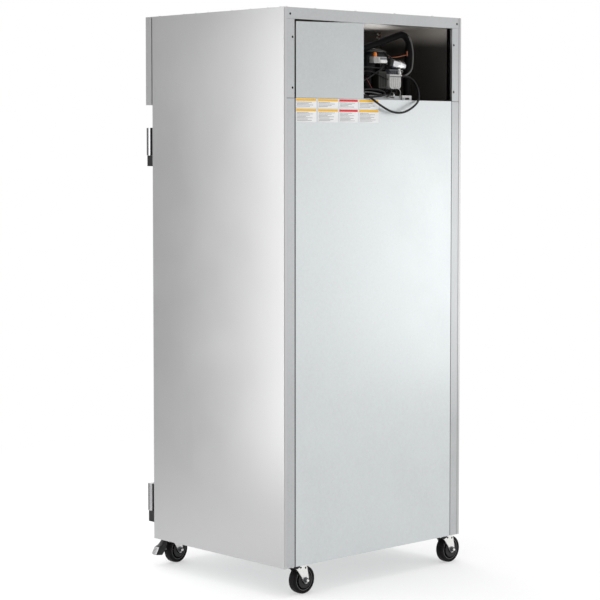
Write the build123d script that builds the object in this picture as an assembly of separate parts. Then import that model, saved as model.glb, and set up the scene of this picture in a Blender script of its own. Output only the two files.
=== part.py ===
"""Proofing cabinet: a tall one-door retarder-proofer on four swivel casters.

Millimetres, +Z up. The origin is on the floor, at the middle of the cabinet's
box. The door faces -Y, its hinges are on the +X side, the service side is +Y.
"""

from build123d import *

import math
import os

# Driving sizes
WIDTH = 908.0
BODY_DEPTH = 734.0
BODY_HEIGHT = 1968.0
SKIRT = 108.0  # floor to the lower edge of the side panels
DOOR_PROUD = 36.0  # door face ahead of the side panels
HANDLE_PROUD = 42.0  # grip face ahead of the door face
SHEET = 1.2
WHEEL_R = 50.8
CASTER_HEIGHT = 127.0

# Planes of the body that follow from them
HALF = WIDTH / 2
DEPTH = BODY_DEPTH + DOOR_PROUD + HANDLE_PROUD
BACK = DEPTH / 2
FRONT = BACK - BODY_DEPTH
DOOR_FACE = FRONT - DOOR_PROUD
TOP = SKIRT + BODY_HEIGHT
INNER = HALF - SHEET  # inside of the side panels

# Compressor compartment
DECK = 1762.0  # top of its floor
OPENING_TOP = 2036.0
OPENING_RIGHT = 66.0  # the service cover hides it from here to +X
PARTITION_Y = 28.0

# Insulated cabin
SEAT = FRONT + 37.0  # plane the door gasket closes on
STRIP = 12.0  # thickness of the breaker strips
CABIN_X = 374.0
CABIN_BACK = 346.0
CABIN_FLOOR = 193.0
CABIN_CEILING = 1689.0
SILL = 141.0
LINTEL = 1741.0
BASE_Z = CASTER_HEIGHT

# Door and hinges
DOOR_X = 422.0
DOOR_BOTTOM = 145.0
DOOR_TOP = 1737.0
DOOR_THICK = 60.0
DOOR_BACK = DOOR_FACE + DOOR_THICK
HINGE_X = 440.0
HINGE_Y = DOOR_FACE + 6.0
HINGE_R = 10.0
PIN_R = 4.0
RUNNING = 0.05  # radial clearance of every running fit
HINGE_BLOCK_TALL = 40.0
HINGE_STRAP_TALL = 104.0
HINGE_BASES = (168.0, 1518.0)  # foot of each hinge block
HANDLE_X = -372.0
HANDLE_Z = 1000.0
HANDLE_LONG = 320.0
LOCK_X = -396.0
LOCK_Z = 1210.0
LOCK_R = 9.0
TONGUE_Y = (DOOR_FACE + 42.0, DOOR_FACE + 46.0)
TONGUE_Y_ROOM = (TONGUE_Y[0] - 2.0, TONGUE_Y[1] + 2.0)

# Hood over the compressor compartment's front
HOOD_BOTTOM = 1747.0
HOOD_FACE = FRONT - 37.0
HOOD_BACK = FRONT - 3.0
HOOD_PIVOT_Y = FRONT - 8.0
HOOD_PIVOT_Z = TOP - 5.0
HOOD_PIN_R = 3.0
SWITCH_X = -255.0
SWITCH_Z = 1900.0

# Casters: place of each swivel, and the way its wheel trails
TRAIL = 42.0
WHEEL_WIDE = 32.0
FORK_GAP = 18.5  # from the wheel's middle to the inside of a fork leg
FORK_SHEET = 3.0
AXLE_R = 4.0
CASTERS = {
    "rear_right": (383.0, 373.0, 180.0),
    "rear_left": (-383.0, 373.0, 180.0),
    "front_right": (386.0, -326.0, 188.0),
    "front_left": (-386.0, -326.0, 0.0),
}
BRAKED = ("front_right", "front_left")
CROWN_TOP = 107.0
BRAKE_X = -15.0  # the brake's pivot, from the swivel, away from the axle
BRAKE_Z = 96.0
BRAKE_PIN_R = 2.5

# Condensing unit
COMPRESSOR = (-116.0, 245.0)
COMPRESSOR_R = 78.0
COMPRESSOR_TOP = 1957.0
CAPACITOR = (-162.0, 342.0, 1895.5)  # the can's middle
CAPACITOR_TILT = 7.4
CONDENSER_FAN = (-110.0, 1895.0)
CONDENSER_FAN_R = 100.0
SHAFT_R = 3.0

# Evaporator
EVAPORATOR_Z = 1615.0
EVAPORATOR_FAN_R = 70.0

# Pan slides
LEVELS = 12
PITCH = 100.0
FIRST_LEVEL = 300.0
SLIDE_Y = (-200.0, 280.0)
SLIDE_X = (312.0, 337.0)

# Power cord
CORD_D = 8.0
RELAY_BOX = ((-166.0, 328.0, 1804.0), (-106.0, 368.0, 1857.0))
GLAND_LONG = 22.0
COIL_X = 262.0
COIL_Y = 318.0
COIL_MID_R = 44.0
COIL_WIDE = 20.0
COIL_TALL = 24.0


def block(x0, x1, y0, y1, z0, z1):
    """A box between two corners."""
    return Pos((x0 + x1) / 2, (y0 + y1) / 2, (z0 + z1) / 2) * Box(x1 - x0, y1 - y0, z1 - z0)


def rod_x(x0, x1, y, z, r):
    """A round bar along X."""
    return Pos((x0 + x1) / 2, y, z) * Rot(0, 90, 0) * Cylinder(r, x1 - x0)


def rod_y(y0, y1, x, z, r):
    """A round bar along Y."""
    return Pos(x, (y0 + y1) / 2, z) * Rot(90, 0, 0) * Cylinder(r, y1 - y0)


def rod_z(z0, z1, x, y, r):
    """A round bar along Z."""
    return Pos(x, y, (z0 + z1) / 2) * Cylinder(r, z1 - z0)


def mirrored(shape):
    """The same piece on the other side of the cabinet's middle plane."""
    return mirror(shape, about=Plane.YZ)


def near(shape, axis, place):
    """The edges along an axis that stand at a place in the other two directions."""
    found = []
    for edge in shape.edges().filter_by(axis):
        middle = edge.center()
        if all(abs(got - wanted) < 0.01 for got, wanted in zip((middle.X, middle.Y), place)):
            found.append(edge)
    return found


def tube(points, radii, r):
    """A round bar along straight runs joined by tangent arcs."""
    path = FilletPolyline(*points, radius=radii)
    start = Plane(origin=path @ 0, z_dir=path % 0)
    return sweep(start * Circle(r), path=path)


def unit(solids):
    """Several solids as one node."""
    return Compound(children=list(solids))


# ---------------------------------------------------------------- body shell


def side_panel():
    """The right side: a plain sheet folded round the front and the rear edge."""
    fold_front = 28.0
    fold_rear = 12.0
    panel = block(INNER, HALF, FRONT, BACK, SKIRT, TOP)
    panel += block(HALF - fold_front, HALF, FRONT, FRONT + SHEET, SKIRT, TOP)
    panel += block(HALF - fold_rear, HALF, BACK - SHEET, BACK, SKIRT, TOP)
    panel = fillet(near(panel, Axis.Z, (HALF, FRONT)), 2.4)
    panel = fillet(near(panel, Axis.Z, (HALF, BACK)), 3.5)
    return panel


def rear_stile(lower, upper, holes):
    """The strip beside the back panel, folded inwards at the panel's edge."""
    face = BACK - SHEET
    edge = 404.0
    fold_foot = max(lower, BASE_Z + 2.5)
    stile = block(edge, INNER - 0.3, face - SHEET, face, lower, upper)
    stile += block(edge, edge + SHEET, face - 10.0, face, fold_foot, upper)
    for z in holes:
        stile -= rod_y(face - 3.0, face + 1.0, edge + 10.7, z, 2.5)
    return stile


def rear_stiles():
    lower = rear_stile(SKIRT, DECK - 2.0, ())
    upper = rear_stile(DECK, OPENING_TOP - 0.5, (DECK + 35.0, DECK + 211.0))
    return unit([lower, upper, mirrored(lower), mirrored(upper)])


def rear_top_rail():
    """The galvanised rail over the compartment's opening."""
    face = BACK - SHEET
    ends = HALF - 12.5
    rail = block(-ends, ends, face - SHEET, face, OPENING_TOP, TOP - SHEET)
    rail += block(-ends, ends, face - 26.0, face, OPENING_TOP, OPENING_TOP + SHEET)
    for x in (424.0, -430.0):
        rail -= rod_y(face - 3.0, face + 1.0, x, OPENING_TOP + 17.0, 2.5)
    return rail


def back_panel():
    face = BACK - SHEET
    return block(-400.5, 398.0, face - SHEET, face, SKIRT, DECK)


def service_cover():
    """The removable plate over the right half of the compartment's opening."""
    face = BACK - 0.4
    low, high, high_inner = DECK + 1.0, DECK + 266.0, DECK + 272.0
    outline = Polyline(
        (OPENING_RIGHT, low), (397.5, low), (397.5, high), (OPENING_RIGHT, high_inner), close=True
    )
    sheet = Plane(origin=(0, face, 0), x_dir=(1, 0, 0), z_dir=(0, -1, 0)) * make_face(outline)
    plate = extrude(sheet, amount=SHEET)
    fold_foot = DECK + 40.0  # the cord passes under it
    fold = block(
        OPENING_RIGHT, OPENING_RIGHT + SHEET, face - 16.0, face - SHEET, fold_foot, high_inner
    )
    return plate + fold


def top_panel():
    return block(-INNER, INNER, FRONT + SHEET, BACK - SHEET, TOP - SHEET, TOP)


def base_pan():
    """The floor sheet that carries the casters, and the rail under the door."""
    pan = block(-INNER + 0.3, INNER - 0.3, FRONT + 1.5, BACK - 3.0, BASE_Z, BASE_Z + 2.0)
    rail = block(-424.0, 424.0, DOOR_FACE + 2.0, FRONT, BASE_Z, SILL)
    return unit([pan, rail])


def door_frame():
    """Stiles and rails round the doorway, the gasket's strips and the lock's keep."""
    strip_back = SEAT + STRIP
    low = BASE_Z + 2.0
    stile = block(426.0, INNER, FRONT + SHEET, strip_back, low, DECK - 3.0)
    strip = block(CABIN_X, 426.0, SEAT, strip_back, low, DECK - 3.0)
    sill = block(-426.0, 426.0, FRONT, SEAT, low, SILL)
    lintel = block(-426.0, 426.0, FRONT, SEAT, LINTEL, DECK - 3.0)
    low_strip = block(-CABIN_X, CABIN_X, SEAT, strip_back, low, CABIN_FLOOR)
    top_strip = block(-CABIN_X, CABIN_X, SEAT, strip_back, CABIN_CEILING, DECK - 3.0)
    keep = block(LOCK_X - 46.0, -425.0, *TONGUE_Y_ROOM, LOCK_Z - 42.0, LOCK_Z + 11.0)
    sides = [stile, strip, mirrored(stile) - keep, mirrored(strip)]
    return unit(sides + [sill, lintel, low_strip, top_strip])


def foam_insulation():
    start = SEAT + STRIP
    foam = block(-INNER + 0.3, INNER - 0.3, start, BACK - 12.0, BASE_Z + 2.0, DECK - 3.0)
    foam += block(-396.0, 394.0, BACK - 13.0, BACK - 2.4, BASE_Z + 2.0, DECK - 3.0)
    t = 1.0
    cavity = (CABIN_X + t, start - 1.0, CABIN_BACK + t, CABIN_FLOOR - t, CABIN_CEILING + t)
    x, y0, y1, z0, z1 = cavity
    return foam - block(-x, x, y0, y1, z0, z1)


def cabin_liner():
    """The five inner panels of the cabin."""
    t = 1.0
    start = SEAT + STRIP
    side = block(CABIN_X, CABIN_X + t, start, CABIN_BACK, CABIN_FLOOR, CABIN_CEILING)
    back = block(
        -CABIN_X - t, CABIN_X + t, CABIN_BACK, CABIN_BACK + t, CABIN_FLOOR - t, CABIN_CEILING + t
    )
    wide = CABIN_X + t
    floor = block(-wide, wide, start, CABIN_BACK, CABIN_FLOOR - t, CABIN_FLOOR)
    ceiling = block(-wide, wide, start, CABIN_BACK, CABIN_CEILING, CABIN_CEILING + t)
    return unit([side, mirrored(side), back, floor, ceiling])


def compartment_lining():
    """Floor, side walls and ceiling of the compressor compartment."""
    back = BACK - 8.0
    front = FRONT + 10.0
    floor = block(-INNER + 0.5, INNER - 0.5, front, BACK - 3.0, DECK - 2.0, DECK)
    wall = block(402.0, 402.0 + SHEET, front, back - 20.0, DECK, OPENING_TOP + 2.0)
    ceiling = block(-402.0, 402.0, PARTITION_Y, back - 20.0, OPENING_TOP + 1.5, OPENING_TOP + 2.7)
    return unit([floor, wall, mirrored(wall), ceiling])


# ------------------------------------------------------------------- cabin


def pilasters():
    """Four upright posts that carry the pan slides."""
    posts = []
    for y in (-180.0, 250.0):
        post = block(SLIDE_X[1], CABIN_X, y - 12.0, y + 12.0, 215.0, 1470.0)
        post = fillet(post.edges().filter_by(Axis.Z), 2.0)
        posts += [post, mirrored(post)]
    return unit(posts)


def pan_slides():
    slides = []
    for level in range(LEVELS):
        z = FIRST_LEVEL + level * PITCH
        slide = block(*SLIDE_X, *SLIDE_Y, z, z + 4.0)
        slide = fillet(slide.edges().filter_by(Axis.Y), 1.0)
        slides += [slide, mirrored(slide)]
    return unit(slides)


def evaporator_housing():
    """The sheet casing that hangs under the cabin's ceiling, open to the rear."""
    x, y0, y1, z0, z1 = 300.0, 90.0, 330.0, 1540.0, CABIN_CEILING
    t = 1.5
    casing = block(-x, x, y0, y1, z0, z1)
    casing -= block(-x + t, x - t, y0 + t, y1 + 1.0, z0 + t, z1 + 1.0)
    casing -= rod_y(y0 - 1.0, y0 + 3.0, 0.0, EVAPORATOR_Z, EVAPORATOR_FAN_R + 2.0)
    return casing


def evaporator_coil():
    """Fin pack with the tube bends at its two ends."""
    x, y0, y1, z0, z1 = 200.0, 200.0, 300.0, 1564.0, 1684.0
    coil = block(-x, x, y0, y1, z0, z1)
    for side in (-1, 1):
        for row in range(4):
            z = z0 + 16.0 + row * 29.0
            middle = (y0 + y1) / 2
            bend = Pos(side * x, middle, z) * Torus(18.0, 4.5)
            coil += bend & block(-300.0, 300.0, y0, y1, z - 6.0, z + 6.0)
    return coil


def fan(r, hub_r, deep, shaft):
    """A five-bladed fan about +Y at the origin, with its shaft towards +Y."""
    wheel = rod_y(-deep / 2, deep / 2, 0.0, 0.0, hub_r)
    blades, pitch_angle = 5, 28
    for turn in range(blades):
        blade = Rot(pitch_angle, 0, 0) * Box(r - hub_r, 1.6, r * 0.5)
        wheel += Rot(0, turn * 360.0 / blades, 0) * (Pos((hub_r + r) / 2 - 2.0, 0, 0) * blade)
    wheel = wheel & rod_y(-r, r, 0.0, 0.0, r)
    return wheel + rod_y(0.0, shaft, 0.0, 0.0, SHAFT_R)


def evaporator_fan_blade():
    return Pos(0, 104.0, EVAPORATOR_Z) * fan(EVAPORATOR_FAN_R - 4.0, 16.0, 12.0, 36.0)


def evaporator_fan_motor():
    """Motor can on a cross bar, with the bore that the fan's shaft runs in."""
    motor = rod_y(118.0, 168.0, 0.0, EVAPORATOR_Z, 30.0)
    motor += block(-85.0, 85.0, 150.0, 154.0, EVAPORATOR_Z - 8.0, EVAPORATOR_Z + 8.0)
    for side in (-1, 1):
        x = side * 83.0
        motor += block(x - 2.0, x + 2.0, 91.5, 154.0, EVAPORATOR_Z - 8.0, EVAPORATOR_Z + 8.0)
    return motor - rod_y(117.0, 141.0, 0.0, EVAPORATOR_Z, SHAFT_R + RUNNING)


def heater_element():
    """The heating rod in one long hairpin below the evaporator coil."""
    z = 1552.0
    points = [(-190, 215, z), (190, 215, z), (190, 285, z), (-190, 285, z)]
    return tube(points, 30.0, 4.0)


def water_pan():
    """The open pan that makes the cabin humid."""
    pan = block(-140.0, 140.0, 190.0, 320.0, CABIN_FLOOR, CABIN_FLOOR + 40.0)
    pan = fillet(pan.edges().filter_by(Axis.Z), 12.0)
    inside = block(-138.0, 138.0, 192.0, 318.0, CABIN_FLOOR + 2.0, CABIN_FLOOR + 41.0)
    return pan - fillet(inside.edges().filter_by(Axis.Z), 10.0)


# ---------------------------------------------------------- condensing unit


def condensing_base():
    """The tray that the compressor stands on, with its rear rail and end clip."""
    tray = block(-225.0, 150.0, 60.0, 350.0, DECK, DECK + 2.0)
    tray += block(-225.0, 150.0, 348.0, 350.0, DECK, DECK + 17.0)
    tray += block(-225.0, 150.0, 60.0, 62.0, DECK, DECK + 14.0)
    clip = block(-236.0, -186.0, 350.0, 355.0, DECK, DECK + 19.0)
    return unit([tray, clip])


def compressor():
    """A welded steel shell with domed ends, a seam and a foot plate."""
    x, y = COMPRESSOR
    foot = DECK + 15.0
    low = foot + 6.0
    shell = rod_z(low, COMPRESSOR_TOP, x, y, COMPRESSOR_R)
    shell = fillet(shell.edges().sort_by(Axis.Z)[-1], 46.0)
    shell = fillet(shell.edges().sort_by(Axis.Z)[0], 30.0)
    seam = rod_z(low + 68.0, low + 74.0, x, y, COMPRESSOR_R + 2.5)
    plate = block(x - 92.0, x + 92.0, y - 70.0, y + 70.0, foot, foot + 3.0)
    plate = fillet(plate.edges().filter_by(Axis.Z), 12.0)
    neck = rod_z(foot + 1.0, low + 20.0, x, y, 44.0)
    port = rod_x(x + 70.0, x + 120.0, y, 1880.0, 7.0)
    return shell + seam + plate + neck + port


def compressor_feet():
    """The rubber grommets under the compressor's foot plate."""
    x, y = COMPRESSOR
    feet = []
    for dx in (-78.0, 78.0):
        for dy in (-56.0, 56.0):
            foot = rod_z(DECK + 2.0, DECK + 15.0, x + dx, y + dy, 11.0)
            feet.append(foot)
    return unit(feet)


def terminal_box():
    """The wiring cover on the compressor's shoulder, its cap and its overload block."""
    cover = block(-110.0, -42.0, 326.0, 350.0, 1898.0, 1921.0)
    cover = fillet(cover.edges().filter_by(Axis.Y), 2.0)
    cap = rod_z(1921.0, 1938.0, -59.0, 338.0, 8.0)
    overload = block(-100.0, -57.0, 328.0, 360.0, 1804.0, 1868.0)
    overload = fillet(overload.edges().filter_by(Axis.Y), 4.0)
    stem = block(-92.0, -80.0, 328.0, 345.0, 1868.0, 1898.0)
    return unit([cover + cap, overload, stem])


def run_capacitor():
    """The can that helps the motor to start, with its end cap."""
    can = rod_x(-42.0, 27.0, 0.0, 0.0, 17.0)
    can = fillet(can.edges().sort_by(Axis.X)[0], 3.0)
    cap = rod_x(27.0, 42.5, 0.0, 0.0, 18.0)
    place = Pos(*CAPACITOR) * Rot(0, -CAPACITOR_TILT, 0)
    return unit([place * can, place * cap])


def relay_box():
    """The plastic box that the power cord goes into, and its socket."""
    (x0, y0, z0), (x1, y1, z1) = RELAY_BOX
    box = block(x0, x1, y0, y1, z0, z1 - 6.0)
    box = fillet(box.edges().filter_by(Axis.Y).sort_by(Axis.Z)[:2], 14.0)
    rim = block(x0 - 3.0, x1 + 3.0, y0 - 2.0, y1 + 3.0, z1 - 6.0, z1)
    socket = block(x0 + 6.0, x1 - 8.0, y0, 360.0, z1, z1 + 19.0)
    return unit([box + rim, socket])


def condenser_coil():
    """Fin pack with the tube bends at its two ends."""
    x0, x1, y0, y1, z0, z1 = -340.0, 120.0, -270.0, -205.0, DECK + 6.0, 2022.0
    coil = block(x0, x1, y0, y1, z0, z1)
    feet = block(x0, x0 + 20.0, y0, y1, DECK, z0) + block(x1 - 20.0, x1, y0, y1, DECK, z0)
    for x in (x0, x1):
        for row in range(7):
            z = z0 + 20.0 + row * 35.0
            bend = Pos(x, (y0 + y1) / 2, z) * Torus(16.0, 4.7)
            coil += bend & block(x0 - 40.0, x1 + 40.0, y0, y1, z - 6.0, z + 6.0)
    return coil + feet


def fan_partition():
    """The upright plate between condenser and compressor, with the fan's hole."""
    x, z = CONDENSER_FAN
    t = SHEET
    plate = block(-401.5, 401.5, PARTITION_Y - t, PARTITION_Y, DECK, OPENING_TOP + 1.0)
    return plate - rod_y(PARTITION_Y - 5.0, PARTITION_Y + 5.0, x, z, CONDENSER_FAN_R + 5.0)


def condenser_fan_blade():
    x, z = CONDENSER_FAN
    wheel = Rot(0, 0, 180) * fan(CONDENSER_FAN_R, 22.0, 20.0, 50.0)
    return Pos(x, PARTITION_Y - 20.0, z) * wheel


def condenser_fan_motor():
    """Motor can on a bracket that stands on the deck."""
    x, z = CONDENSER_FAN
    end = PARTITION_Y - 38.0
    motor = rod_y(end - 62.0, end, x, z, 38.0)
    motor += block(x - 20.0, x + 20.0, end - 40.0, end - 36.0, DECK, z - 20.0)
    motor += block(x - 40.0, x + 40.0, end - 60.0, end - 16.0, DECK, DECK + 3.0)
    return motor - rod_y(end - 34.0, end + 1.0, x, z, SHAFT_R + RUNNING)


def suction_line():
    """The insulated pipe from the evaporator up and over to the compressor."""
    points = [
        (-266, 300, DECK),
        (-266, 300, 1862),
        (-277, 300, 1985),
        (-246, 300, 2014),
        (-40, 298, 1952),
        (26, 262, 1925),
        (30, 246, 1880),
        (6, 245, 1878),
    ]
    return tube(points, [60.0, 30.0, 34.0, 60.0, 16.0, 11.0], 12.5)


def copper_lines():
    """The charging tube with its valve, the liquid line and its drier."""
    charge = tube([(-168, 294, 1922), (-205, 305, 1925), (-250, 312, 1934)], 30.0, 2.0)
    valve = rod_z(1930.0, 1949.0, -254.0, 312.6, 4.5)
    liquid = tube([(60, 200, DECK + 20), (60, 110, DECK + 20), (60, 110, DECK + 140)], 25.0, 3.2)
    drier = rod_z(DECK + 140.0, DECK + 230.0, 60.0, 110.0, 13.0)
    drier = fillet(drier.edges(), 9.0)
    tail = rod_z(DECK + 230.0, DECK + 255.0, 60.0, 110.0, 3.2)
    return unit([charge + valve, liquid + drier + tail])


# --------------------------------------------------------------------- hood


def hood_panel():
    """The front cover with its folded edges, the air slots and the hinge pins."""
    y0, y1 = HOOD_FACE, HOOD_BACK
    hood = block(-HALF, HALF, y0, y1, HOOD_BOTTOM, TOP)
    hood -= block(-INNER, INNER, y0 + SHEET, y1 + 1.0, HOOD_BOTTOM + SHEET, TOP - SHEET)
    for row in range(12):
        z = HOOD_BOTTOM + 50.0 + row * 20.0
        hood -= block(-180.0, 400.0, y0 - 1.0, y0 + 3.0, z, z + 8.0)
    hood -= block(SWITCH_X - 9.0, SWITCH_X + 9.0, y0 - 1.0, y0 + 3.0, SWITCH_Z - 15.0, SWITCH_Z + 15.0)
    for side in (-1, 1):
        x = side * 442.0
        hood -= block(x - 5.0, x + 5.0, HOOD_PIVOT_Y - 14.0, y1 + 1.0, TOP - 3.0, TOP + 1.0)
        inner, outer = sorted((side * 434.0, side * INNER))
        hood += rod_x(inner, outer, HOOD_PIVOT_Y, HOOD_PIVOT_Z, HOOD_PIN_R)
    return hood


def hood_brackets():
    """The two ears on the body that the hood's pins turn in."""
    ears = []
    for x0, x1 in ((440.0, 444.0), (-444.0, -440.0)):
        low = HOOD_PIVOT_Z - 12.0
        ear = block(x0, x1, HOOD_PIVOT_Y - 6.0, FRONT, low, HOOD_PIVOT_Z + 3.5)
        ear -= rod_x(x0 - 1.0, x1 + 1.0, HOOD_PIVOT_Y, HOOD_PIVOT_Z, HOOD_PIN_R + RUNNING)
        ears.append(ear)
    return unit(ears)


def control_panel():
    """The bezel with a display window, four film keys and the switch's hole."""
    y = HOOD_FACE
    panel = block(-430.0, -232.0, y - 4.0, y, 1858.0, 1942.0)
    panel = fillet(panel.edges().filter_by(Axis.Y), 6.0)
    panel -= block(-412.0, -322.0, y - 5.0, y - 2.5, 1884.0, 1924.0)
    window = block(-412.0, -322.0, y - 3.3, y - 2.5, 1884.0, 1924.0)
    panel -= block(SWITCH_X - 9.0, SWITCH_X + 9.0, y - 5.0, y + 1.0, SWITCH_Z - 15.0, SWITCH_Z + 15.0)
    keys = []
    for row in range(2):
        for column in range(2):
            x = -305.0 + column * 20.0
            z = 1893.0 + row * 20.0
            keys.append(block(x - 7.0, x + 7.0, y - 4.8, y - 4.0, z - 6.0, z + 6.0))
    return unit([panel, window] + keys)


def power_switch():
    """The rocker, tipped to its off side, with the pivot pins at its ends."""
    rocker = Box(15.0, 10.0, 24.0)
    rocker = fillet(rocker.edges().filter_by(Axis.X), 2.0)
    rocker = Pos(SWITCH_X, HOOD_FACE - 2.0, SWITCH_Z) * Rot(-8, 0, 0) * rocker
    return rocker + rod_x(SWITCH_X - 8.5, SWITCH_X + 8.5, HOOD_FACE - 2.0, SWITCH_Z, 2.0)


# --------------------------------------------------------------------- door


def lock_pocket():
    """The room that the lock's tongue turns in, out through the door's edge."""
    return block(
        -DOOR_X - 1.0, LOCK_X + 14.0, *TONGUE_Y_ROOM, LOCK_Z - 42.0, LOCK_Z + 14.0
    )


def door_skin():
    """The outer pan of the door."""
    y0, y1 = DOOR_FACE, DOOR_BACK - 3.0
    t = SHEET
    skin = block(-DOOR_X, DOOR_X, y0, y1, DOOR_BOTTOM, DOOR_TOP)
    skin = fillet(skin.edges().filter_by(Axis.Z).sort_by(Axis.Y)[:2], 2.4)
    skin -= block(-DOOR_X + t, DOOR_X - t, y0 + t, y1 + 1.0, DOOR_BOTTOM + t, DOOR_TOP - t)
    skin -= rod_y(y0 - 1.0, y0 + 3.0, LOCK_X, LOCK_Z, LOCK_R + RUNNING)
    return skin - lock_pocket()


def door_foam():
    t = SHEET
    foam = block(
        -DOOR_X + t, DOOR_X - t, DOOR_FACE + t, DOOR_BACK - 3.0, DOOR_BOTTOM + t, DOOR_TOP - t
    )
    foam -= rod_y(DOOR_FACE, TONGUE_Y[0], LOCK_X, LOCK_Z, LOCK_R + 1.0)
    return foam - lock_pocket()


def door_inner_panel():
    """The inner face of the door, with a raised field inside the gasket."""
    y = DOOR_BACK - 3.0
    panel = block(-DOOR_X, DOOR_X, y, DOOR_BACK, DOOR_BOTTOM, DOOR_TOP)
    field = block(-350.0, 350.0, DOOR_BACK, DOOR_BACK + 9.0, 217.0, 1665.0)
    field = fillet(field.edges().filter_by(Axis.Y), 16.0)
    field = fillet(field.faces().sort_by(Axis.Y)[-1].edges(), 5.0)
    return panel + field


def door_gasket():
    """The magnetic gasket round the door's inner face."""
    y0, y1 = DOOR_BACK, SEAT - 0.5
    ring = block(-408.0, 408.0, y0, y1, 159.0, 1723.0)
    return ring - block(-384.0, 384.0, y0 - 1.0, y1 + 1.0, 183.0, 1699.0)


def door_handle():
    """A straight grip on two posts."""
    face = DOOR_FACE - HANDLE_PROUD
    half = HANDLE_LONG / 2
    grip = block(HANDLE_X - 11.0, HANDLE_X + 11.0, face, face + 12.0, HANDLE_Z - half, HANDLE_Z + half)
    grip = fillet(grip.edges().filter_by(Axis.Z), 4.0)
    posts = []
    for side in (-1, 1):
        z = HANDLE_Z + side * (half - 22.0)
        post = block(HANDLE_X - 9.0, HANDLE_X + 9.0, face + 12.0, DOOR_FACE, z - 14.0, z + 14.0)
        posts.append(fillet(post.edges().filter_by(Axis.Y), 3.0))
    return unit([grip] + posts)


def door_lock():
    """The lock barrel with its tongue hanging down, and the key's slot."""
    x, z = LOCK_X, LOCK_Z
    barrel = rod_y(DOOR_FACE - 4.0, TONGUE_Y[0], x, z, LOCK_R)
    barrel += rod_y(DOOR_FACE - 4.0, DOOR_FACE - 0.3, x, z, LOCK_R + 3.0)
    barrel -= block(x - 1.2, x + 1.2, DOOR_FACE - 5.0, DOOR_FACE + 8.0, z - 4.5, z + 4.5)
    return barrel + block(x - 7.0, x + 7.0, *TONGUE_Y, z - 37.0, z + 7.0)


def hinge_straps():
    """The door's half of each hinge: a knuckle and the strap on the door's face."""
    straps = []
    for foot in HINGE_BASES:
        low = foot + HINGE_BLOCK_TALL + 0.3
        high = low + HINGE_STRAP_TALL
        strap = block(372.0, HINGE_X, DOOR_FACE - 4.0, DOOR_FACE, low, high)
        strap = fillet(near(strap, Axis.Z, (372.0, DOOR_FACE - 4.0)), 3.0)
        strap += rod_z(low, high, HINGE_X, HINGE_Y, HINGE_R)
        strap -= rod_z(low - 1.0, high - 12.0, HINGE_X, HINGE_Y, PIN_R + RUNNING)
        straps.append(strap)
    return unit(straps)


def hinge_blocks():
    """The body's half of each hinge: a leaf on the stile, a block and its pin."""
    blocks = []
    for foot in HINGE_BASES:
        high = foot + HINGE_BLOCK_TALL
        leaf = block(428.0, 452.0, FRONT - 3.0, FRONT, foot, high + HINGE_STRAP_TALL)
        body = block(432.0, 450.0, HINGE_Y - 9.0, FRONT - 3.0, foot, high)
        body = fillet(body.edges().filter_by(Axis.Z).sort_by(Axis.Y)[:2], 5.0)
        pin = rod_z(high, high + HINGE_STRAP_TALL - 14.0, HINGE_X, HINGE_Y, PIN_R)
        blocks.append(leaf + body + pin)
    return unit(blocks)


# ------------------------------------------------------------------ casters


def placed(name, shape):
    """A caster piece that was made trailing towards +X, at its own place."""
    x, y, heading = CASTERS[name]
    return Pos(x, y, 0) * Rot(0, 0, heading) * shape


def caster_plates():
    """The four mounting plates with the cap of the swivel bearing and its screws."""
    half_x, half_y = 39.0, 29.0
    plates = []
    for x, y, _ in CASTERS.values():
        low = BASE_Z - 4.0
        plate = block(x - half_x, x + half_x, y - half_y, y + half_y, low, BASE_Z)
        plate = fillet(plate.edges().filter_by(Axis.Z), 6.0)
        plate += rod_z(BASE_Z - 10.0, low, x, y, 25.0)
        for dx in (-30.0, 30.0):
            for dy in (-20.0, 20.0):
                plate += rod_z(BASE_Z - 8.0, low, x + dx, y + dy, 6.0)
        plates.append(plate)
    return unit(plates)


def fork_leg(side):
    """One leg of the fork: it leans back from the crown and narrows to the axle."""
    y = side * (FORK_GAP + FORK_SHEET / 2)
    outline = Polyline(
        (-8.0, CROWN_TOP), (44.0, CROWN_TOP), (50.0, 96.0), (57.0, 60.0), (56.0, 46.0),
        (50.0, 38.0), (42.0, 38.0), (33.0, 46.0), (22.0, 66.0), (2.0, 92.0), (-8.0, 98.0),
        close=True,
    )  # fmt: skip
    sheet = Plane(origin=(0, y - FORK_SHEET / 2, 0), x_dir=(1, 0, 0), z_dir=(0, -1, 0))
    leg = extrude(sheet * make_face(outline), amount=-FORK_SHEET)
    for x, z in ((19.0, 98.5), (42.0, 95.0)):
        leg -= rod_y(y - 5.0, y + 5.0, x, z, 2.6)
    return leg


def caster_fork(name):
    """The fork with its crown, its swivel ring and the axle bolt."""
    inner, outer = FORK_GAP, FORK_GAP + FORK_SHEET
    crown = block(-20.0, 40.0, -outer, outer, CROWN_TOP - 4.0, CROWN_TOP)
    ring = rod_z(CROWN_TOP, BASE_Z - 10.3, 0.0, 0.0, 24.0)
    fork = crown + ring + fork_leg(1) + fork_leg(-1)
    if name in BRAKED:
        for y0, y1 in ((inner, outer), (-outer, -inner)):
            fork += block(BRAKE_X - 6.0, 0.0, y0, y1, BRAKE_Z - 6.0, CROWN_TOP)
        fork -= rod_y(-outer - 1.0, outer + 1.0, BRAKE_X, BRAKE_Z, BRAKE_PIN_R + RUNNING)
    fork -= rod_y(-outer - 1.0, outer + 1.0, TRAIL, WHEEL_R, AXLE_R)
    bolt = rod_y(-outer - 2.0, outer + 14.0, TRAIL, WHEEL_R, AXLE_R)
    bolt += rod_y(-outer - 6.0, -outer, TRAIL, WHEEL_R, 7.5)
    nut = Rot(90, 0, 0) * extrude(RegularPolygon(8.0, 6), 4.0, both=True)
    bolt += Pos(TRAIL, outer + 4.0, WHEEL_R) * nut
    return placed(name, unit([fork, bolt]))


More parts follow.
